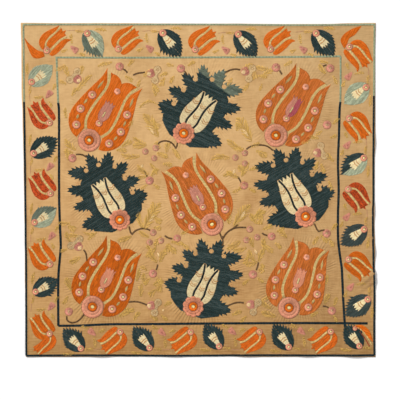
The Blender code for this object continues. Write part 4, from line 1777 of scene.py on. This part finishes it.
class WRAPPING_OT_linen(bpy.types.Operator):
    """Lay out the linen with its hem"""

    bl_idname = "wrapping.linen"
    bl_label = "Linen Cloth"

    def execute(self, context):
        linen_cloth()
        hem_stitches()
        return {"FINISHED"}


class WRAPPING_OT_border_lines(bpy.types.Operator):
    """Sew the two lines round the border"""

    bl_idname = "wrapping.border_lines"
    bl_label = "Border Lines"

    def execute(self, context):
        sew_border_lines()
        return {"FINISHED"}


class WRAPPING_OT_sprigs(bpy.types.Operator):
    """Sew the feathery mustard sprigs"""

    bl_idname = "wrapping.sprigs"
    bl_label = "Sprigs"

    def execute(self, context):
        sew_sprigs()
        return {"FINISHED"}


class WRAPPING_OT_sprays(bpy.types.Operator):
    """Sew the stems, buds, small rosettes and scrolls"""

    bl_idname = "wrapping.sprays"
    bl_label = "Sprays"

    def execute(self, context):
        sew_sprays()
        return {"FINISHED"}


class WRAPPING_OT_field_leaves(bpy.types.Operator):
    """Sew the four big serrated leaves"""

    bl_idname = "wrapping.field_leaves"
    bl_label = "Field Leaves"

    def execute(self, context):
        sew_field_leaves()
        return {"FINISHED"}


class WRAPPING_OT_field_tulips(bpy.types.Operator):
    """Sew the five big tulips"""

    bl_idname = "wrapping.field_tulips"
    bl_label = "Field Tulips"

    def execute(self, context):
        sew_field_tulips()
        return {"FINISHED"}


class WRAPPING_OT_border_leaves(bpy.types.Operator):
    """Sew the border's leaves and buds"""

    bl_idname = "wrapping.border_leaves"
    bl_label = "Border Leaves"

    def execute(self, context):
        sew_border_leaves()
        return {"FINISHED"}


class WRAPPING_OT_border_tulips(bpy.types.Operator):
    """Sew the border's tulips"""

    bl_idname = "wrapping.border_tulips"
    bl_label = "Border Tulips"

    def execute(self, context):
        sew_border_tulips()
        return {"FINISHED"}


class WRAPPING_OT_stage(bpy.types.Operator):
    """Set up the floor, the light and the camera"""

    bl_idname = "wrapping.stage"
    bl_label = "Stage"

    def execute(self, context):
        stage()
        return {"FINISHED"}


OPERATORS = (
    WRAPPING_OT_linen,
    WRAPPING_OT_border_lines,
    WRAPPING_OT_sprigs,
    WRAPPING_OT_sprays,
    WRAPPING_OT_field_leaves,
    WRAPPING_OT_field_tulips,
    WRAPPING_OT_border_leaves,
    WRAPPING_OT_border_tulips,
    WRAPPING_OT_stage,
)


class WRAPPING_PT_panel(bpy.types.Panel):
    """Sizes, colours and pieces of the wrapping cloth"""

    bl_idname = "WRAPPING_PT_panel"
    bl_label = "Wrapping Cloth"
    bl_space_type = "VIEW_3D"
    bl_region_type = "UI"
    bl_category = "Wrapping Cloth"

    def draw(self, context):
        scene = context.scene
        for settings in (scene.wrapping_cloth, scene.wrapping_stitches, scene.wrapping_silks):
            box = self.layout.box()
            for name in settings.__annotations__:
                box.prop(settings, name)
        for operator in OPERATORS:
            self.layout.operator(operator.bl_idname)


SETTINGS = (
    ("wrapping_cloth", WrappingCloth),
    ("wrapping_stitches", WrappingStitches),
    ("wrapping_silks", WrappingSilks),
)


def register():
    for name, settings in SETTINGS:
        bpy.utils.register_class(settings)
        setattr(bpy.types.Scene, name, bpy.props.PointerProperty(type=settings))
    for item in (*OPERATORS, WRAPPING_PT_panel):
        bpy.utils.register_class(item)


def unregister():
    for item in reversed((*OPERATORS, WRAPPING_PT_panel)):
        bpy.utils.unregister_class(item)
    for name, settings in reversed(SETTINGS):
        delattr(bpy.types.Scene, name)
        bpy.utils.unregister_class(settings)


def main():
    register()
    bpy.ops.wrapping.linen()
    bpy.ops.wrapping.border_lines()
    bpy.ops.wrapping.sprigs()
    bpy.ops.wrapping.sprays()
    bpy.ops.wrapping.field_leaves()
    bpy.ops.wrapping.field_tulips()
    bpy.ops.wrapping.border_leaves()
    bpy.ops.wrapping.border_tulips()
    bpy.ops.wrapping.stage()
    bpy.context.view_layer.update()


if __name__ == "__main__":
    main()
